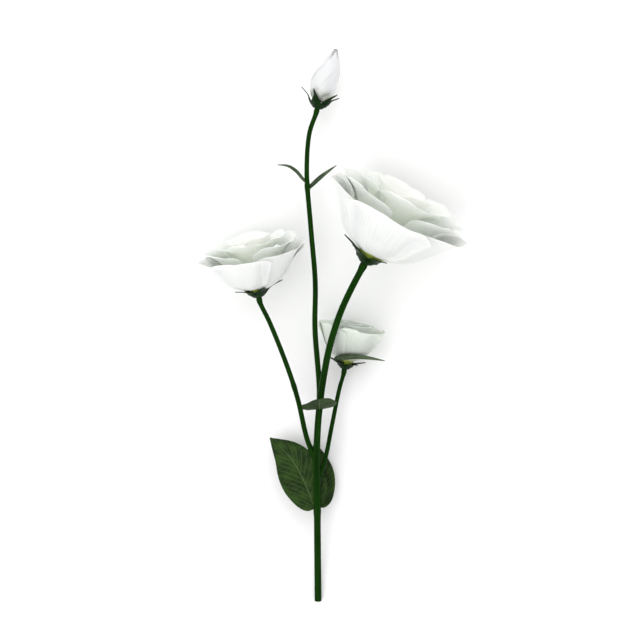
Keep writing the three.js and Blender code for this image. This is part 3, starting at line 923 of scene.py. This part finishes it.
@dataclass
class Flower:
    """What every flower head has: a name, sizes, a head, and a stalk's end under its calyx."""

    name: str
    head: Head
    calyx: CalyxSize
    stalk_radius: float
    radius: float = 0.0
    spin: float = 0.0
    oval: float = 1.0
    spread: float = 62.0
    sway: float = 0.0

    @property
    def rest(self) -> float:
        """The height at which pieces stand on the calyx."""
        return self.calyx.height + GAP

    @property
    def heart_radius(self) -> float:
        """The room inside the innermost petals' feet."""
        return self.calyx.radius * 0.26

    def petal_surface(self, whorl: Whorl, index: int, wild: bool = True) -> Surface:
        """One petal's surface in the flower's own frame.

        Args:
            whorl: the ring that it grows in.
            index: which petal of the ring it is.
            wild: whether it has its ruffles, curled lip and uneven rim.

        Returns:
            The surface.
        """
        count = len(whorl.azimuths)
        middle = self.spin + whorl.azimuths[index]
        left, right = whorl.over[index], -whorl.over[(index + 1) % count]
        foot = (whorl.foot * self.calyx.radius, self.rest + PETAL_SHEET / 2)
        profile = [foot, *[(out * self.radius, up * self.radius) for out, up in whorl.profile]]
        reach = whorl.reach * (whorl.shares[index] if wild and whorl.shares else 1)
        beat = 2.4 * index + 1.3 * len(whorl.name) + 0.7 * self.spin

        def plain(across: np.ndarray, along: np.ndarray) -> np.ndarray:
            """The petal's plain shape, with its uneven rim if it is wild.

            Args:
                across: places across, -1 to 1.
                along: places along, 0 to 1.

            Returns:
                One point for each place.
            """
            nick = 0.0
            if wild:
                nick = 0.013 * np.sin(5.3 * across + beat) + 0.006 * np.sin(17 * across + 2 * beat)
            out, up = spline(profile, along * (1 - whorl.rounding * across**4 - nick)).T
            foot_half = 180 / count * FOOT_SHARE
            azimuth = middle + across * (foot_half + (reach - foot_half) * ease(along, 0.05, 0.5))
            lap = (left + (right - left) * (across + 1) / 2) * whorl.lap * self.radius
            lap = lap * ease(along, 0.03, 0.42) * (NESTLE if wild else 1)
            wider = 1 + self.sway * np.sin(np.radians(azimuth))
            rows = around(azimuth) * ((out + lap) * wider)[:, None] * np.array([1, self.oval, 1])
            rows[:, 2] = up
            return rows

        def grown(across: np.ndarray, along: np.ndarray) -> np.ndarray:
            """The petal with its ruffles, its belly and its curled lip.

            Args:
                across: places across, -1 to 1.
                along: places along, 0 to 1.

            Returns:
                One point for each place.
            """
            rows = plain(across, along)
            normal, onwards = normals(plain, across, along)
            rim, side = ease(along, 0.5, 1.0), abs(across) ** 3 * ease(along, 0.3, 0.85)
            wave = rim * (0.6 * np.sin(4.6 * across + beat) + 0.35 * np.sin(9.3 * across + 1.7 * beat))
            wave = wave + side * 0.8 * np.sin(8 * along + beat)
            fold = 0.35 * np.sin(np.pi * along) * np.sin(3.4 * across + 0.6 * beat)
            lip = np.clip((along - 0.74) / 0.26, 0, 1)
            outward = whorl.ruffle * (wave + fold) + whorl.curl * lip**2
            if whorl.bellies:
                full = np.sin(np.pi * along**0.8) * ease(across, -0.6, 0.0) * (1 - ease(across, 0.3, 0.8))
                outward = outward + whorl.bellies[index] * self.radius * full
            if whorl.lifts:
                lift = whorl.lifts[index] * self.radius * ease(across, 0.62, 1.0)
                outward = outward + lift * ease(along, 0.12, 0.6)
            rows = rows + normal * outward[:, None] - onwards * (0.5 * whorl.curl * lip**3)[:, None]
            rows[:, 2] -= 0.35 * self.calyx.height * (1 - ease(along, 0, 0.09))
            return rows

        return grown if wild else plain

    def find(self, node: str, surface: Surface) -> None:
        """Takes the head's place from the frame.

        Args:
            node: a CAD node of this flower.
            surface: the same piece, in the flower's own frame.
        """
        grids = np.meshgrid(np.linspace(-1, 1, 7), np.linspace(0, 1, 6))  # the frame's own places
        rows = surface(*(grid.ravel() for grid in grids)) @ self.head.turn.T
        low, high = (np.array(corner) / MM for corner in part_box(node))
        self.head.origin = (low + high) / 2 - (rows.min(0) + rows.max(0)) / 2

    def petal(self, whorl: Whorl, index: int) -> bpy.types.Object:
        """Builds one petal.

        Args:
            whorl: the ring that it grows in.
            index: which petal of the ring it is.

        Returns:
            The petal.
        """
        node = f"{self.name}_{whorl.name}_petal_{index + 1}"
        surface = self.head.lying(self.petal_surface(whorl, index))
        obj = thicken(sheet(f"{node}_fine", 36, 30, surface), PETAL_THICKNESS, 1)
        paint(obj, whorl.look)
        return settle(obj, whorl.slot, node)

    def calyx_piece(self, extra: Sequence[bpy.types.Object] = ()) -> bpy.types.Object:
        """Builds the calyx: a ribbed cup whose five sepals run out of its wall.

        Args:
            extra: painted pieces that are joined to it.

        Returns:
            The calyx.
        """
        size, foot = self.calyx, self.stalk_radius
        room = 360 / SEPALS
        first = self.spin + room / 2
        outline = [
            (foot * 0.9, -0.5), (foot * 1.06, 0.2), (size.radius * 0.56, size.height * 0.22),
            (size.radius * 0.86, size.height * 0.5), (size.radius * 1.16, size.height * 0.83),
            (size.radius * 1.08, size.height * 0.93), (0.01, size.height * 0.72),
        ]

        def cup(across: np.ndarray, along: np.ndarray) -> np.ndarray:
            """The cup's wall, with a rib below each sepal and a notch in its rim between them.

            Args:
                across: places across, -1 to 1.
                along: places along, 0 to 1.

            Returns:
                One point for each place.
            """
            out, up = spline(outline, along).T
            lobe = np.cos(np.radians(SEPALS * (across * 180 - first)))
            rows = ring(across, out * (1 + 0.05 * lobe * ease(up, 0, size.height)))
            rows[:, 2] = up * (1 - 0.2 * (1 - lobe) * ease(up, 0.3 * size.height, 0.8 * size.height))
            return self.head.place(rows)

        pieces = [closed(sheet(f"{self.name}_cup", 60, 24, cup))]
        for index in range(SEPALS):
            pieces.append(self.sepal(first + index * room, index))
        for piece in pieces:
            paint(piece, Look.CALYX)
        obj = joined(f"{self.name}_calyx_fine", [*pieces, *extra])
        return settle(obj, "calyx", f"{self.name}_calyx")

    def sepal(self, azimuth: float, index: int) -> bpy.types.Object:
        """Builds one sepal, from the cup's wall to its thin tip.

        Args:
            azimuth: where it stands on the cup, in degrees.
            index: which sepal of the calyx it is.

        Returns:
            The sepal.
        """
        size = self.calyx
        outward = around(np.array([azimuth]))[0]
        sideways = np.cross([0, 0, 1], outward)
        slope = math.radians(self.spread)
        start = np.array([size.radius * 0.7, size.height * 0.62])
        ahead = np.array([math.sin(slope), math.cos(slope)])
        up = np.array([-math.cos(slope), math.sin(slope)])
        spine = [(size.radius * 0.5, size.height * 0.12), (size.radius * 0.9, size.height * 0.48)]
        spine.append((size.radius * 1.3, size.height * 0.88))
        for share, droop in ((0.5, -0.035), (0.78, -0.09), (1.0, -0.14)):
            sway = 0.03 * math.sin(2.1 * index + self.spin)
            spine.append(tuple(start + size.sepal * (share * ahead + (droop + sway * share) * up)))
        widths = [(0.6,), (1.2,), (1.15,), (0.5,), (0.27,), (0.03,)]

        def blade(across: np.ndarray, along: np.ndarray) -> np.ndarray:
            """The sepal's surface, which is bent round the cup.

            Args:
                across: places across, -1 to 1.
                along: places along, 0 to 1.

            Returns:
                One point for each place.
            """
            out, height = spline(spine, along).T
            half = np.maximum(spline(widths, along)[:, 0], 0.03) * size.radius * 0.62
            aside = across * half
            out = out - aside**2 / (2 * np.maximum(out, 1)) + 0.12 * (1 - abs(across)) * half
            rows = outward * out[:, None] + sideways * aside[:, None]
            rows[:, 2] = height
            return on_table(self.head.place(rows), SEPALS_LOWEST)

        return thicken(sheet(f"{self.name}_sepal_{index}", 8, 26, blade), BLADE_THICKNESS, 1)

    def furled(
        self,
        count: int,
        wrap: float,
        twist: float,
        outline: Sequence[Sequence[float]],
        length: float,
        girth: float,
        lean: float = 0.0,
    ) -> list[bpy.types.Object]:
        """Builds petals that are still wrapped round each other.

        Args:
            count: how many petals.
            wrap: half the angle that each covers, in degrees.
            twist: how far the petals turn from foot to tip, in degrees.
            outline: [out, up] shares of girth and length, from foot to tip.
            length: from foot to tip.
            girth: the largest radius.
            lean: how far the tip stands aside.

        Returns:
            The petals.
        """
        pieces = []
        for index in range(count):

            def wall(across: np.ndarray, along: np.ndarray, index: int = index) -> np.ndarray:
                """One wrapped petal.

                Args:
                    across: places across, -1 to 1.
                    along: places along, 0 to 1.
                    index: which petal it is.

                Returns:
                    One point for each place.
                """
                shape = spline(outline, along * (1 - 0.03 * across**2))
                out, up = shape[:, 0] * girth, shape[:, 1] * length
                lap = 0.55 * across * ease(along, 0.02, 0.3) * (0.25 + 0.75 * out / girth)
                azimuth = index * 360 / count + across * wrap + twist * along
                rows = around(azimuth) * (out + lap + 0.12 * np.sin(9 * along + 3 * across))[:, None]
                rows[:, 0] += lean * ease(along, 0.35, 1.0)
                rows[:, 2] = self.rest + up
                return self.head.place(rows)

            wrapped = sheet(f"{self.name}_wrap_{index}", 24, 40, wall)
            pieces.append(thicken(wrapped, WRAP_THICKNESS, 1))
        return pieces


@dataclass
class DoubleFlower(Flower):
    """An open double flower: its calyx, four whorls of petals and its heart."""

    def build(self) -> None:
        """Builds the flower's pieces."""
        self.calyx_piece()
        for whorl in DOUBLE_WHORLS:
            for index in range(len(whorl.azimuths)):
                self.petal(whorl, index)
        self.pistil()
        self.stamens()

    def locate(self) -> None:
        """Takes the flower's place from the frame."""
        self.find(f"{self.name}_outer_petal_1", self.petal_surface(DOUBLE_WHORLS[0], 0, wild=False))

    def pistil(self) -> None:
        """Builds the pistil: ovary, style and a broad stigma of two lobes."""
        length, girth = self.radius * 0.72, self.heart_radius * 0.8
        outline = [
            (0.01, 0), (0.7, 0.01), (1.0, 0.2), (0.82, 0.4),
            (0.36, 0.56), (0.34, 0.8), (0.5, 0.88), (0.01, 0.9),
        ]

        def body(across: np.ndarray, along: np.ndarray) -> np.ndarray:
            """The ovary and the style.

            Args:
                across: places across, -1 to 1.
                along: places along, 0 to 1.

            Returns:
                One point for each place.
            """
            out, up = spline(outline, along).T
            rows = ring(across, out * girth)
            rows[:, 2] = self.rest + up * length
            return self.head.place(rows)

        pieces = [closed(sheet(f"{self.name}_ovary", 20, 30, body))]
        for side in (-1, 1):

            def lobe(across: np.ndarray, along: np.ndarray, side: int = side) -> np.ndarray:
                """One lobe of the stigma.

                Args:
                    across: places across, -1 to 1.
                    along: places along, 0 to 1.
                    side: -1 or 1.

                Returns:
                    One point for each place.
                """
                polar = np.pi * along
                rows = ring(across, np.sin(polar) * girth * 0.75)
                rows[:, 0] = rows[:, 0] * 0.8 + side * girth * 0.62
                rows[:, 2] = self.rest + length * (0.93 - 0.07 * np.cos(polar)) - 0.12 * abs(rows[:, 0])
                return self.head.place(rows)

            pieces.append(closed(sheet(f"{self.name}_lobe", 16, 12, lobe)))
        obj = joined(f"{self.name}_pistil_fine", pieces)
        paint(obj, Look.PISTIL)
        settle(obj, "pistil", f"{self.name}_pistil")

    def stamens(self) -> None:
        """Builds five stamens: thin filaments with split, powdery anthers."""
        length, foot = self.radius * 0.38, self.rest + self.radius * 0.34
        pieces = []
        for index in range(5):
            outward = around(np.array([index * 72.0]))[0]

            def at(lean: float, up: float, outward: np.ndarray = outward) -> np.ndarray:
                """A point of the filament's line."""
                return outward * (self.heart_radius + 0.5 + length * lean) + np.array([0, 0, foot + up])

            knots = [at(-0.02, -2.0), at(0.03, length * 0.6), at(0.11, length)]
            route = Route([self.head.place(knot[None])[0] for knot in knots])
            radius = Taper(0.42, 0.27).radius
            filament = tube(f"{self.name}_filament_{index}", route, radius, 10, 10, (1, 0, 0.2))
            paint(filament, Look.FILAMENT)

            def anther(across: np.ndarray, along: np.ndarray, outward: np.ndarray = outward) -> np.ndarray:
                """The anther, a long bead with two grooves.

                Args:
                    across: places across, -1 to 1.
                    along: places along, 0 to 1.
                    outward: the direction that it stands in.

                Returns:
                    One point for each place.
                """
                polar = np.pi * along
                turn = np.radians(across * 180)
                groove = 1 - 0.28 * abs(np.cos(turn)) ** 6
                side = np.cross([0, 0, 1], outward)
                rows = outward * (np.sin(polar) * np.cos(turn) * 0.75 * groove)[:, None]
                rows = rows + side * (np.sin(polar) * np.sin(turn))[:, None]
                rows[:, 2] = -2.1 * np.cos(polar)
                return self.head.place(rows + at(0.11, length, outward))

            head = closed(sheet(f"{self.name}_anther_{index}", 20, 14, anther))
            paint(head, Look.ANTHER)
            pieces += [head, filament]
        settle(joined(f"{self.name}_stamens_fine", pieces), "stamen", f"{self.name}_stamens")


@dataclass
class HalfOpenFlower(Flower):
    """A flower that has only half opened: a cup of petals round a furled heart, and one long sepal."""

    long_sepal: tuple[float, float] = (34.0, 5.5)

    def locate(self) -> None:
        """Takes the flower's place from the frame."""
        self.find(f"{self.name}_outer_petal_1", self.petal_surface(CUP_WHORL, 0, wild=False))

    def build(self) -> None:
        """Builds the flower's pieces."""
        self.calyx_piece([self.leafy_sepal()])
        for index in range(len(CUP_WHORL.azimuths)):
            self.petal(CUP_WHORL, index)
        outline = [(0.3, 0), (0.55, 0.22), (0.9, 0.58), (1.05, 0.88), (1.15, 1.05)]
        length = self.radius * 1.2
        wraps = self.furled(4, 120, 60, outline, length, girth=self.radius * 0.5)
        core = self.furled(3, 130, 110, outline, length * 1.02, girth=self.radius * 0.26)
        obj = joined(f"{self.name}_furled_petals_fine", [*wraps, *core])
        paint(obj, Look.CUP_PETAL)
        settle(obj, "inner_petal", f"{self.name}_furled_petals")

    def leafy_sepal(self) -> bpy.types.Object:
        """Builds the sepal that is as long as a leaf and curls across the front of the cup.

        Returns:
            The sepal.
        """
        length, width = self.long_sepal
        base = around(np.array([-59.0]))[0] * self.calyx.radius * 0.83
        base = base + np.array([0, 0, self.calyx.height * 0.78])
        blade = Blade(base, (1, 0, 0), (0, -1, -1), length, width, LANCE,
                      ((-0.065, -0.179, 0.046), (0.074, -0.314, 0.064), (0.265, -0.331, 0.031),
                       (0.515, -0.282, -0.025), (0.765, -0.222, -0.069)), 0.05)
        surface = blade.surface()
        placed = sheet(f"{self.name}_long_sepal", 10, 40, lambda u, v: self.head.place(surface(u, v)))
        paint(thicken(placed, BLADE_THICKNESS, 1), Look.BRACT)
        return placed


@dataclass
class Bud(Flower):
    """A bud: petals still wrapped into a drop that ends in a withered brown tip."""

    length: float = 33.0
    girth: float = 8.0

    def locate(self) -> None:
        """Takes the bud's place from the frame."""
        shares = (
            (0.42, 0), (0.86, 0.14), (1, 0.3), (0.9, 0.5),
            (0.6, 0.75), (0.3, 0.92), (0.1, 0.99), (0, 1),
        )
        knots = np.array(shares) * [self.girth, self.length]

        def drop(across: np.ndarray, along: np.ndarray) -> np.ndarray:
            """The points of the frame's plain drop.

            Args:
                across: places across, -1 to 1.
                along: places along, 0 to 1.

            Returns:
                One point for each place.
            """
            index = np.clip((along * len(knots)).astype(int), 0, len(knots) - 1)
            rows = ring(across, knots[index, 0])
            rows[:, 2] = self.rest + knots[index, 1]
            return rows

        self.find(f"{self.name}_furled_petals", drop)

    def build(self) -> None:
        """Builds the bud's pieces."""
        self.calyx_piece()
        outline = [
            (0.42, 0), (0.86, 0.12), (0.99, 0.28), (0.98, 0.45),
            (0.84, 0.63), (0.6, 0.79), (0.28, 0.92), (0.1, 1.0),
        ]
        wraps = self.furled(5, 88, 150, outline, self.length, self.girth - WRAP_THICKNESS, lean=1.6)
        obj = joined(f"{self.name}_furled_petals_fine", wraps)
        paint(obj, Look.BUD_PETAL)
        settle(obj, "petal", f"{self.name}_furled_petals")


# ------------------------------------------------------------------ stems


@dataclass(frozen=True)
class Taper:
    """Radii of a stem: at its lower end and at its flower. A joint is (share, swelling, spread)."""

    lower: float
    upper: float
    joints: tuple[tuple[float, float, float], ...] = ()

    def radius(self, share: np.ndarray) -> np.ndarray:
        """The radius along the stem.

        Args:
            share: places along the stem, 0 to 1.

        Returns:
            The radii in millimetres.
        """
        result = self.lower + (self.upper - self.lower) * share
        for place, swelling, spread in self.joints:
            result = result + swelling * np.exp(-(((share - place) / spread) ** 2))
        return result


@dataclass(frozen=True)
class Stalk:
    """A side stalk: where it forks off, how far under the stem's axis, its plan points and its radii."""

    fork: float
    drop: float
    plan: tuple[tuple[float, float], ...]
    taper: Taper


@dataclass
class Stems:
    """The main stem and the three stalks that fork off it."""

    right: DoubleFlower
    left: DoubleFlower
    small: HalfOpenFlower
    bud: Bud
    stem_radius: float = 2.15
    stem_plan: tuple[tuple[float, float], ...] = (
        (0, 0), (-0.4, 50), (-0.6, 98), (1.2, 122), (4.2, 142.2), (7.2, 156.6), (13.4, 176), (20, 190.5),
    )
    stem_taper: Taper = Taper(
        2.12, 1.92,
        (
            (0.27, 0.3, 0.012), (0.352, 0.25, 0.01), (0.415, 0.25, 0.01),
            (0.585, 0.35, 0.012), (0.992, 0.5, 0.012),
        ),
    )
    left_stalk: Stalk = Stalk(
        86, 0, ((-6.3, 99), (-12.2, 124), (-18, 142.2), (-29, 170)),
        Taper(1.55, 1.4, ((0.0, 0.5, 0.06), (0.45, 0.2, 0.02), (0.985, 0.45, 0.02))),
    )
    small_stalk: Stalk = Stalk(
        73, 1, ((4.4, 88), (8.1, 106.2), (13, 130)),
        Taper(1.4, 1.25, ((0.0, 0.4, 0.08), (0.98, 0.4, 0.03))),
    )
    bud_stalk: Stalk = Stalk(
        123, 5, ((0.4, 138), (-1.8, 166), (-1.7, 195), (-4.4, 228), (-6.8, 262), (-5.1, 285)),
        Taper(1.7, 1.38, ((0.0, 0.4, 0.03), (0.73, 0.3, 0.012), (0.992, 0.35, 0.012))),
    )

    def __post_init__(self) -> None:
        """Lays out the routes from the heads' places."""
        self.shift = self.right.head.origin[:2] - [self.right.head.x, self.right.head.y]
        rise = self.right.head.origin[2] - self.stem_radius
        slope = math.atan(rise * math.pi / 2 / self.right.head.y)
        foot = self.stem_radius * math.cos(slope)

        def height(y: float) -> float:
            """The height of the stem's axis at a distance y from the cut end."""
            return foot + rise * math.sin(min(1, y / self.right.head.y) * math.pi / 2)

        points = [(*self.plan(x, y), height(y)) for x, y in self.stem_plan]
        self.main = Route([*points, *self.arrival(self.right.head)])
        self.left_route = self.branch(self.left_stalk, self.left.head)
        self.small_route = self.branch(self.small_stalk, self.small.head)
        self.bud_route = self.branch(self.bud_stalk, self.bud.head)

    def plan(self, x: float, y: float) -> tuple[float, float]:
        """A plan point in the row frame."""
        return x + self.shift[0], y + self.shift[1]

    def stem_point(self, y: float) -> np.ndarray:
        """The point of the main stem's axis at a distance y from the cut end."""
        return self.main.at_y(y + self.shift[1])

    def bud_point(self, y: float) -> np.ndarray:
        """The point of the bud's stalk at a distance y from the cut end."""
        return self.bud_route.at_y(y + self.shift[1])

    @staticmethod
    def arrival(head: Head) -> list[np.ndarray]:
        """The last points of a stalk, in line with its flower's axis."""
        return [head.place(np.array([[0.0, 0.0, back]]))[0] for back in (-3.0, 0.3)]

    def branch(self, stalk: Stalk, head: Head) -> Route:
        """A stalk's route from its fork on the stem to its flower.

        Args:
            stalk: the stalk.
            head: the flower's head.

        Returns:
            The route.
        """
        start, end = self.stem_point(stalk.fork), head.origin

        def height(y: float) -> float:
            """The height of the stalk's axis at a distance y from the cut end."""
            share = float(ease(np.array(y + self.shift[1]), stalk.fork + self.shift[1], end[1]))
            return (start[2] - stalk.drop) * (1 - share) + end[2] * share

        points = [(*self.plan(x, y), height(y)) for x, y in stalk.plan]
        return Route([start, *points, *self.arrival(head)])

    def build(self) -> None:
        """Builds the stem and the stalks."""
        stem = tube("main_stem_fine", self.main, self.stem_taper.radius, 28, 170)
        paint(stem, Look.STEM)
        stem.data.materials.append(Look.CUT.value.material())
        for face in stem.data.polygons:
            if face.normal.y < -0.9 and len(face.vertices) > 4:
                face.material_index = 1
        settle(stem, "stem", "main_stem")
        forked = (
            ("left_flower_stalk", self.left_route, self.left_stalk),
            ("small_flower_stalk", self.small_route, self.small_stalk),
            ("bud_stalk", self.bud_route, self.bud_stalk),
        )
        for name, route, stalk in forked:
            obj = tube(f"{name}_fine", route, stalk.taper.radius, 22, 110)
            paint(obj, Look.STEM)
            settle(obj, "stem", name)


# ------------------------------------------------------------------ leaves


def outline(foot: float, power: float, full: float) -> Callable[[np.ndarray], np.ndarray]:
    """The half width of a blade from foot to tip, as a share of its widest.

    Args:
        foot: how far along the curve the blade begins.
        power: how far down its widest place lies.
        full: how full its foot is; less is fuller.

    Returns:
        The share at places along the blade.
    """

    def half(along: np.ndarray) -> np.ndarray:
        """The half width at places along."""
        bulge = np.sin(np.pi * (foot + (0.998 - foot) * along) ** power)
        return np.maximum(0.02, bulge ** (full + (0.95 - full) * along))

    return half


OVATE = outline(0.01, 0.75, 0.55)
LANCE = outline(0.08, 0.75, 0.8)


def full_round(along: np.ndarray) -> np.ndarray:
    """The half width of a blade that keeps its breadth almost to both ends."""
    return np.maximum(0.02, np.sin(np.pi * (0.03 + 0.968 * along) ** 0.85)) ** (0.24 + 0.3 * along)


@dataclass
class Blade:
    """A leaf, bract or long sepal. Spine points are (ahead, aside, up) in blade lengths from its base."""

    base: np.ndarray
    heading: Sequence[float]
    face: Sequence[float]
    length: float
    width: float
    shape: Callable[[np.ndarray], np.ndarray]
    spine: Sequence[Sequence[float]]
    fold: float = 0.1
    wave: float = 0.0
    ribs: int = 0

    def surface(self) -> Surface:
        """The blade's surface.

        Returns:
            A point in place for each place across and along.
        """
        ahead = np.array(self.heading, float) / np.linalg.norm(self.heading)
        aside = np.cross(ahead, np.array(self.face, float))
        aside /= np.linalg.norm(aside)
        up = np.cross(aside, ahead)
        basis = np.array([ahead, aside, up]) * self.length
        curve = Route([self.base, *[self.base + np.array(point) @ basis for point in self.spine]])

        def placed(across: np.ndarray, along: np.ndarray) -> np.ndarray:
            """The folded, ribbed and waved surface along the spine.

            Args:
                across: places across, -1 to 1.
                along: places along, 0 to 1.

            Returns:
                One point for each place.
            """
            side = np.cross(curve.tangent(along), up)
            side /= np.linalg.norm(side, axis=1, keepdims=True)
            out = across * self.shape(along) * self.width / 2
            lift = self.fold * abs(out) - 0.25 * np.exp(-((across / 0.05) ** 2)) * (self.width > BROAD)
            if self.ribs:
                climb = (along - 0.35 * abs(across) ** 0.75 * 0.6) * self.ribs
                lift = lift - 0.16 * np.exp(-(((climb % 1) - 0.5) / 0.13) ** 2) * (1 - across**2)
            edge = abs(across) ** 3 * ease(along, 0.05, 0.3)
            lift = lift + self.wave * edge * np.sin(11 * along + 2 * np.sign(across))
            return curve.point(along) + side * out[:, None] + up * lift[:, None]

        return placed


@dataclass
class Leaves:
    """The leaf pairs at the lower and middle joints and the bracts on the bud's stalk."""

    stems: Stems
    lower_joint: float = 57
    middle_joint: float = 118.5
    left_bract: float = 254
    right_bract: float = 250.5

    def blades(self) -> dict[str, Blade]:
        """Lays out every leaf and bract.

        Returns:
            Each blade under its node's name.
        """
        lower = self.stems.stem_point(self.lower_joint)
        middle = self.stems.stem_point(self.middle_joint)
        left_bract = self.stems.bud_point(self.left_bract)
        right_bract = self.stems.bud_point(self.right_bract)
        return {
            "lower_left_leaf": Blade(
                lower + [-1.6, 0, -0.6], (-0.53, 0.84, -0.08), (0.06, 0, 1), 51, 27, OVATE,
                ((0.3, 0.06, 0.01), (0.65, 0.08, 0.02), (1, 0, -0.04)), wave=0.7, ribs=8,
            ),
            "lower_right_leaf": Blade(
                lower + [1.2, 0.6, -2.2], (0, 0.93, -0.3), (0.16, 0.3, 0.9), 40, 21, OVATE,
                ((0.3, -0.01, -0.06), (0.65, -0.02, -0.03), (1, -0.08, 0.08)), wave=0.6, ribs=8,
            ),
            "middle_front_leaf": Blade(
                middle + [0, -0.4, 1.2], (0, 0.2, 0.97), (-0.12, 1, 0), 34, 21, full_round,
                ((0.35, 0, -0.01), (0.7, 0, -0.01), (1, 0, 0)), fold=0.03, wave=0.5, ribs=7,
            ),
            "middle_back_leaf": Blade(
                middle + [0, -0.6, -1.2], (0, 0.06, -0.98), (0, 1, 0.2), 22, 16, OVATE,
                ((0.5, 0, 0.05), (1, 0, 0)), wave=0.4, ribs=6,
            ),
            "bud_left_bract": Blade(
                left_bract, (-0.85, 0.53, 0.1), (0.45, 0.72, 0.5), 23, 4.2, LANCE,
                ((0.19, 0, 0.055), (0.45, 0, 0.14), (0.69, 0, 0.135), (0.93, 0, 0)),
            ),
            "bud_right_bract": Blade(
                right_bract, (0.76, 0.64, -0.05), (-0.64, 0.76, 0.8), 23, 4.2, LANCE,
                ((0.5, 0, 0.03), (1, 0, 0)),
            ),
        }

    def build(self) -> None:
        """Builds every leaf and bract."""
        for name, blade in self.blades().items():
            if blade.width > BROAD:
                obj = thicken(sheet(f"{name}_fine", 40, 72, blade.surface()), LEAF_THICKNESS)
                paint(obj, Look.LEAF)
            else:
                obj = thicken(sheet(f"{name}_fine", 10, 36, blade.surface()), BLADE_THICKNESS, 1)
                paint(obj, Look.BRACT)
            settle(obj, "leaf", name)


# ------------------------------------------------------------------ the room


@dataclass
class Studio:
    """A pale floor, soft lights, and the camera that looks straight down on the spray."""

    right: DoubleFlower
    view_centre: tuple[float, float] = (1.2, 171.6)
    view_width: float = 384.0
    lens: float = 135.0
    sensor: float = 36.0
    focus_height: float = 30.0

    def build(self) -> None:
        """Builds the camera, then the floor and the lights."""
        shift = self.right.head.origin[:2] - [self.right.head.x, self.right.head.y]
        aim = (np.array(self.view_centre) + shift) * MM
        self.camera(aim)
        self.floor()
        self.light("key", (-0.5, -0.42, 1.4), size=1.3, power=9.5, aim=aim)
        self.light("back", (-0.05, 0.9, 1.1), size=1.3, power=6.0, aim=aim)
        self.world()

    def camera(self, aim: np.ndarray) -> None:
        """Adds the camera, straight over the spray.

        Args:
            aim: the plan point in the middle of its view, in metres.
        """
        data = bpy.data.cameras.new("camera")
        data.lens, data.sensor_width = self.lens, self.sensor
        distance = self.view_width * MM * self.lens / self.sensor + self.focus_height * MM
        camera = bpy.data.objects.new("camera", data)
        camera.location = (aim[0], aim[1], distance)
        bpy.context.scene.collection.objects.link(camera)
        bpy.context.scene.camera = camera

    def floor(self) -> None:
        """Adds the floor, a plain pale sheet."""
        bpy.ops.object.select_all(action="DESELECT")
        bpy.ops.mesh.primitive_plane_add(size=6, location=(0, 0, -0.0002))
        floor = bpy.context.object
        floor.name = "floor"
        made = bpy.data.materials.new("floor_pale")
        made.use_nodes = True
        shader = made.node_tree.nodes["Principled BSDF"]
        shader.inputs["Base Color"].default_value = (0.97, 0.97, 0.97, 1)
        shader.inputs["Roughness"].default_value = 0.9
        shader.inputs["Specular IOR Level"].default_value = 0.1
        floor.data.materials.append(made)

    def light(self, name: str, place: Sequence[float], size: float, power: float, aim: np.ndarray) -> None:
        """Adds one soft square light that faces the spray.

        Args:
            name: the light's name.
            place: where it stands from the aim, in metres.
            size: its width in metres.
            power: in watts.
            aim: the plan point that it faces, in metres.
        """
        data = bpy.data.lights.new(name, "AREA")
        data.shape, data.size, data.energy = "SQUARE", size, power
        lamp = bpy.data.objects.new(name, data)
        lamp.location = Vector((place[0] + aim[0], place[1] + aim[1], place[2]))
        direction = Vector((aim[0], aim[1], 0.03)) - lamp.location
        lamp.rotation_euler = direction.to_track_quat("-Z", "Y").to_euler()
        bpy.context.scene.collection.objects.link(lamp)

    def world(self) -> None:
        """Sets an even, bright surround."""
        world = bpy.data.worlds.new("surround")
        world.use_nodes = True
        world.node_tree.nodes["Background"].inputs["Color"].default_value = (1, 1, 1, 1)
        world.node_tree.nodes["Background"].inputs["Strength"].default_value = 0.78
        bpy.context.scene.world = world
        bpy.context.scene.view_settings.view_transform = "Standard"


def main() -> None:
    """Builds the spray and its room."""
    logging.basicConfig(level=logging.INFO, format="%(name)s %(message)s")
    right = DoubleFlower(
        "right_flower", Head(27.6, 205, lean=27.3, lift=12), CalyxSize(6.4, 6.4, sepal=16),
        stalk_radius=1.95, radius=46, sway=0.08,
    )
    left = DoubleFlower(
        "left_flower", Head(-35.6, 185, lean=-11.5, lift=11.5), CalyxSize(5.4, 5.4, sepal=13),
        stalk_radius=1.4, radius=33.5, spin=-18, sway=0.03,
    )
    small = HalfOpenFlower(
        "small_flower", Head(15.9, 141.6, lean=10.5, lift=8), CalyxSize(4.2, 4.6, sepal=10),
        stalk_radius=1.25, radius=19, oval=0.88, spread=66,
    )
    bud = Bud(
        "bud", Head(-0.9, 299, lean=15, lift=0), CalyxSize(4.4, 4.6, sepal=12.5),
        stalk_radius=1.35, spin=14, spread=44,
    )
    for flower in (right, left, small, bud):
        flower.locate()
        log.info("%s at %s", flower.name, flower.head.origin.round(2))
    Studio(right).build()
    stems = Stems(right, left, small, bud)
    stems.build()
    Leaves(stems).build()
    for flower in (right, left, small, bud):
        flower.build()


if __name__ == "__main__":
    main()
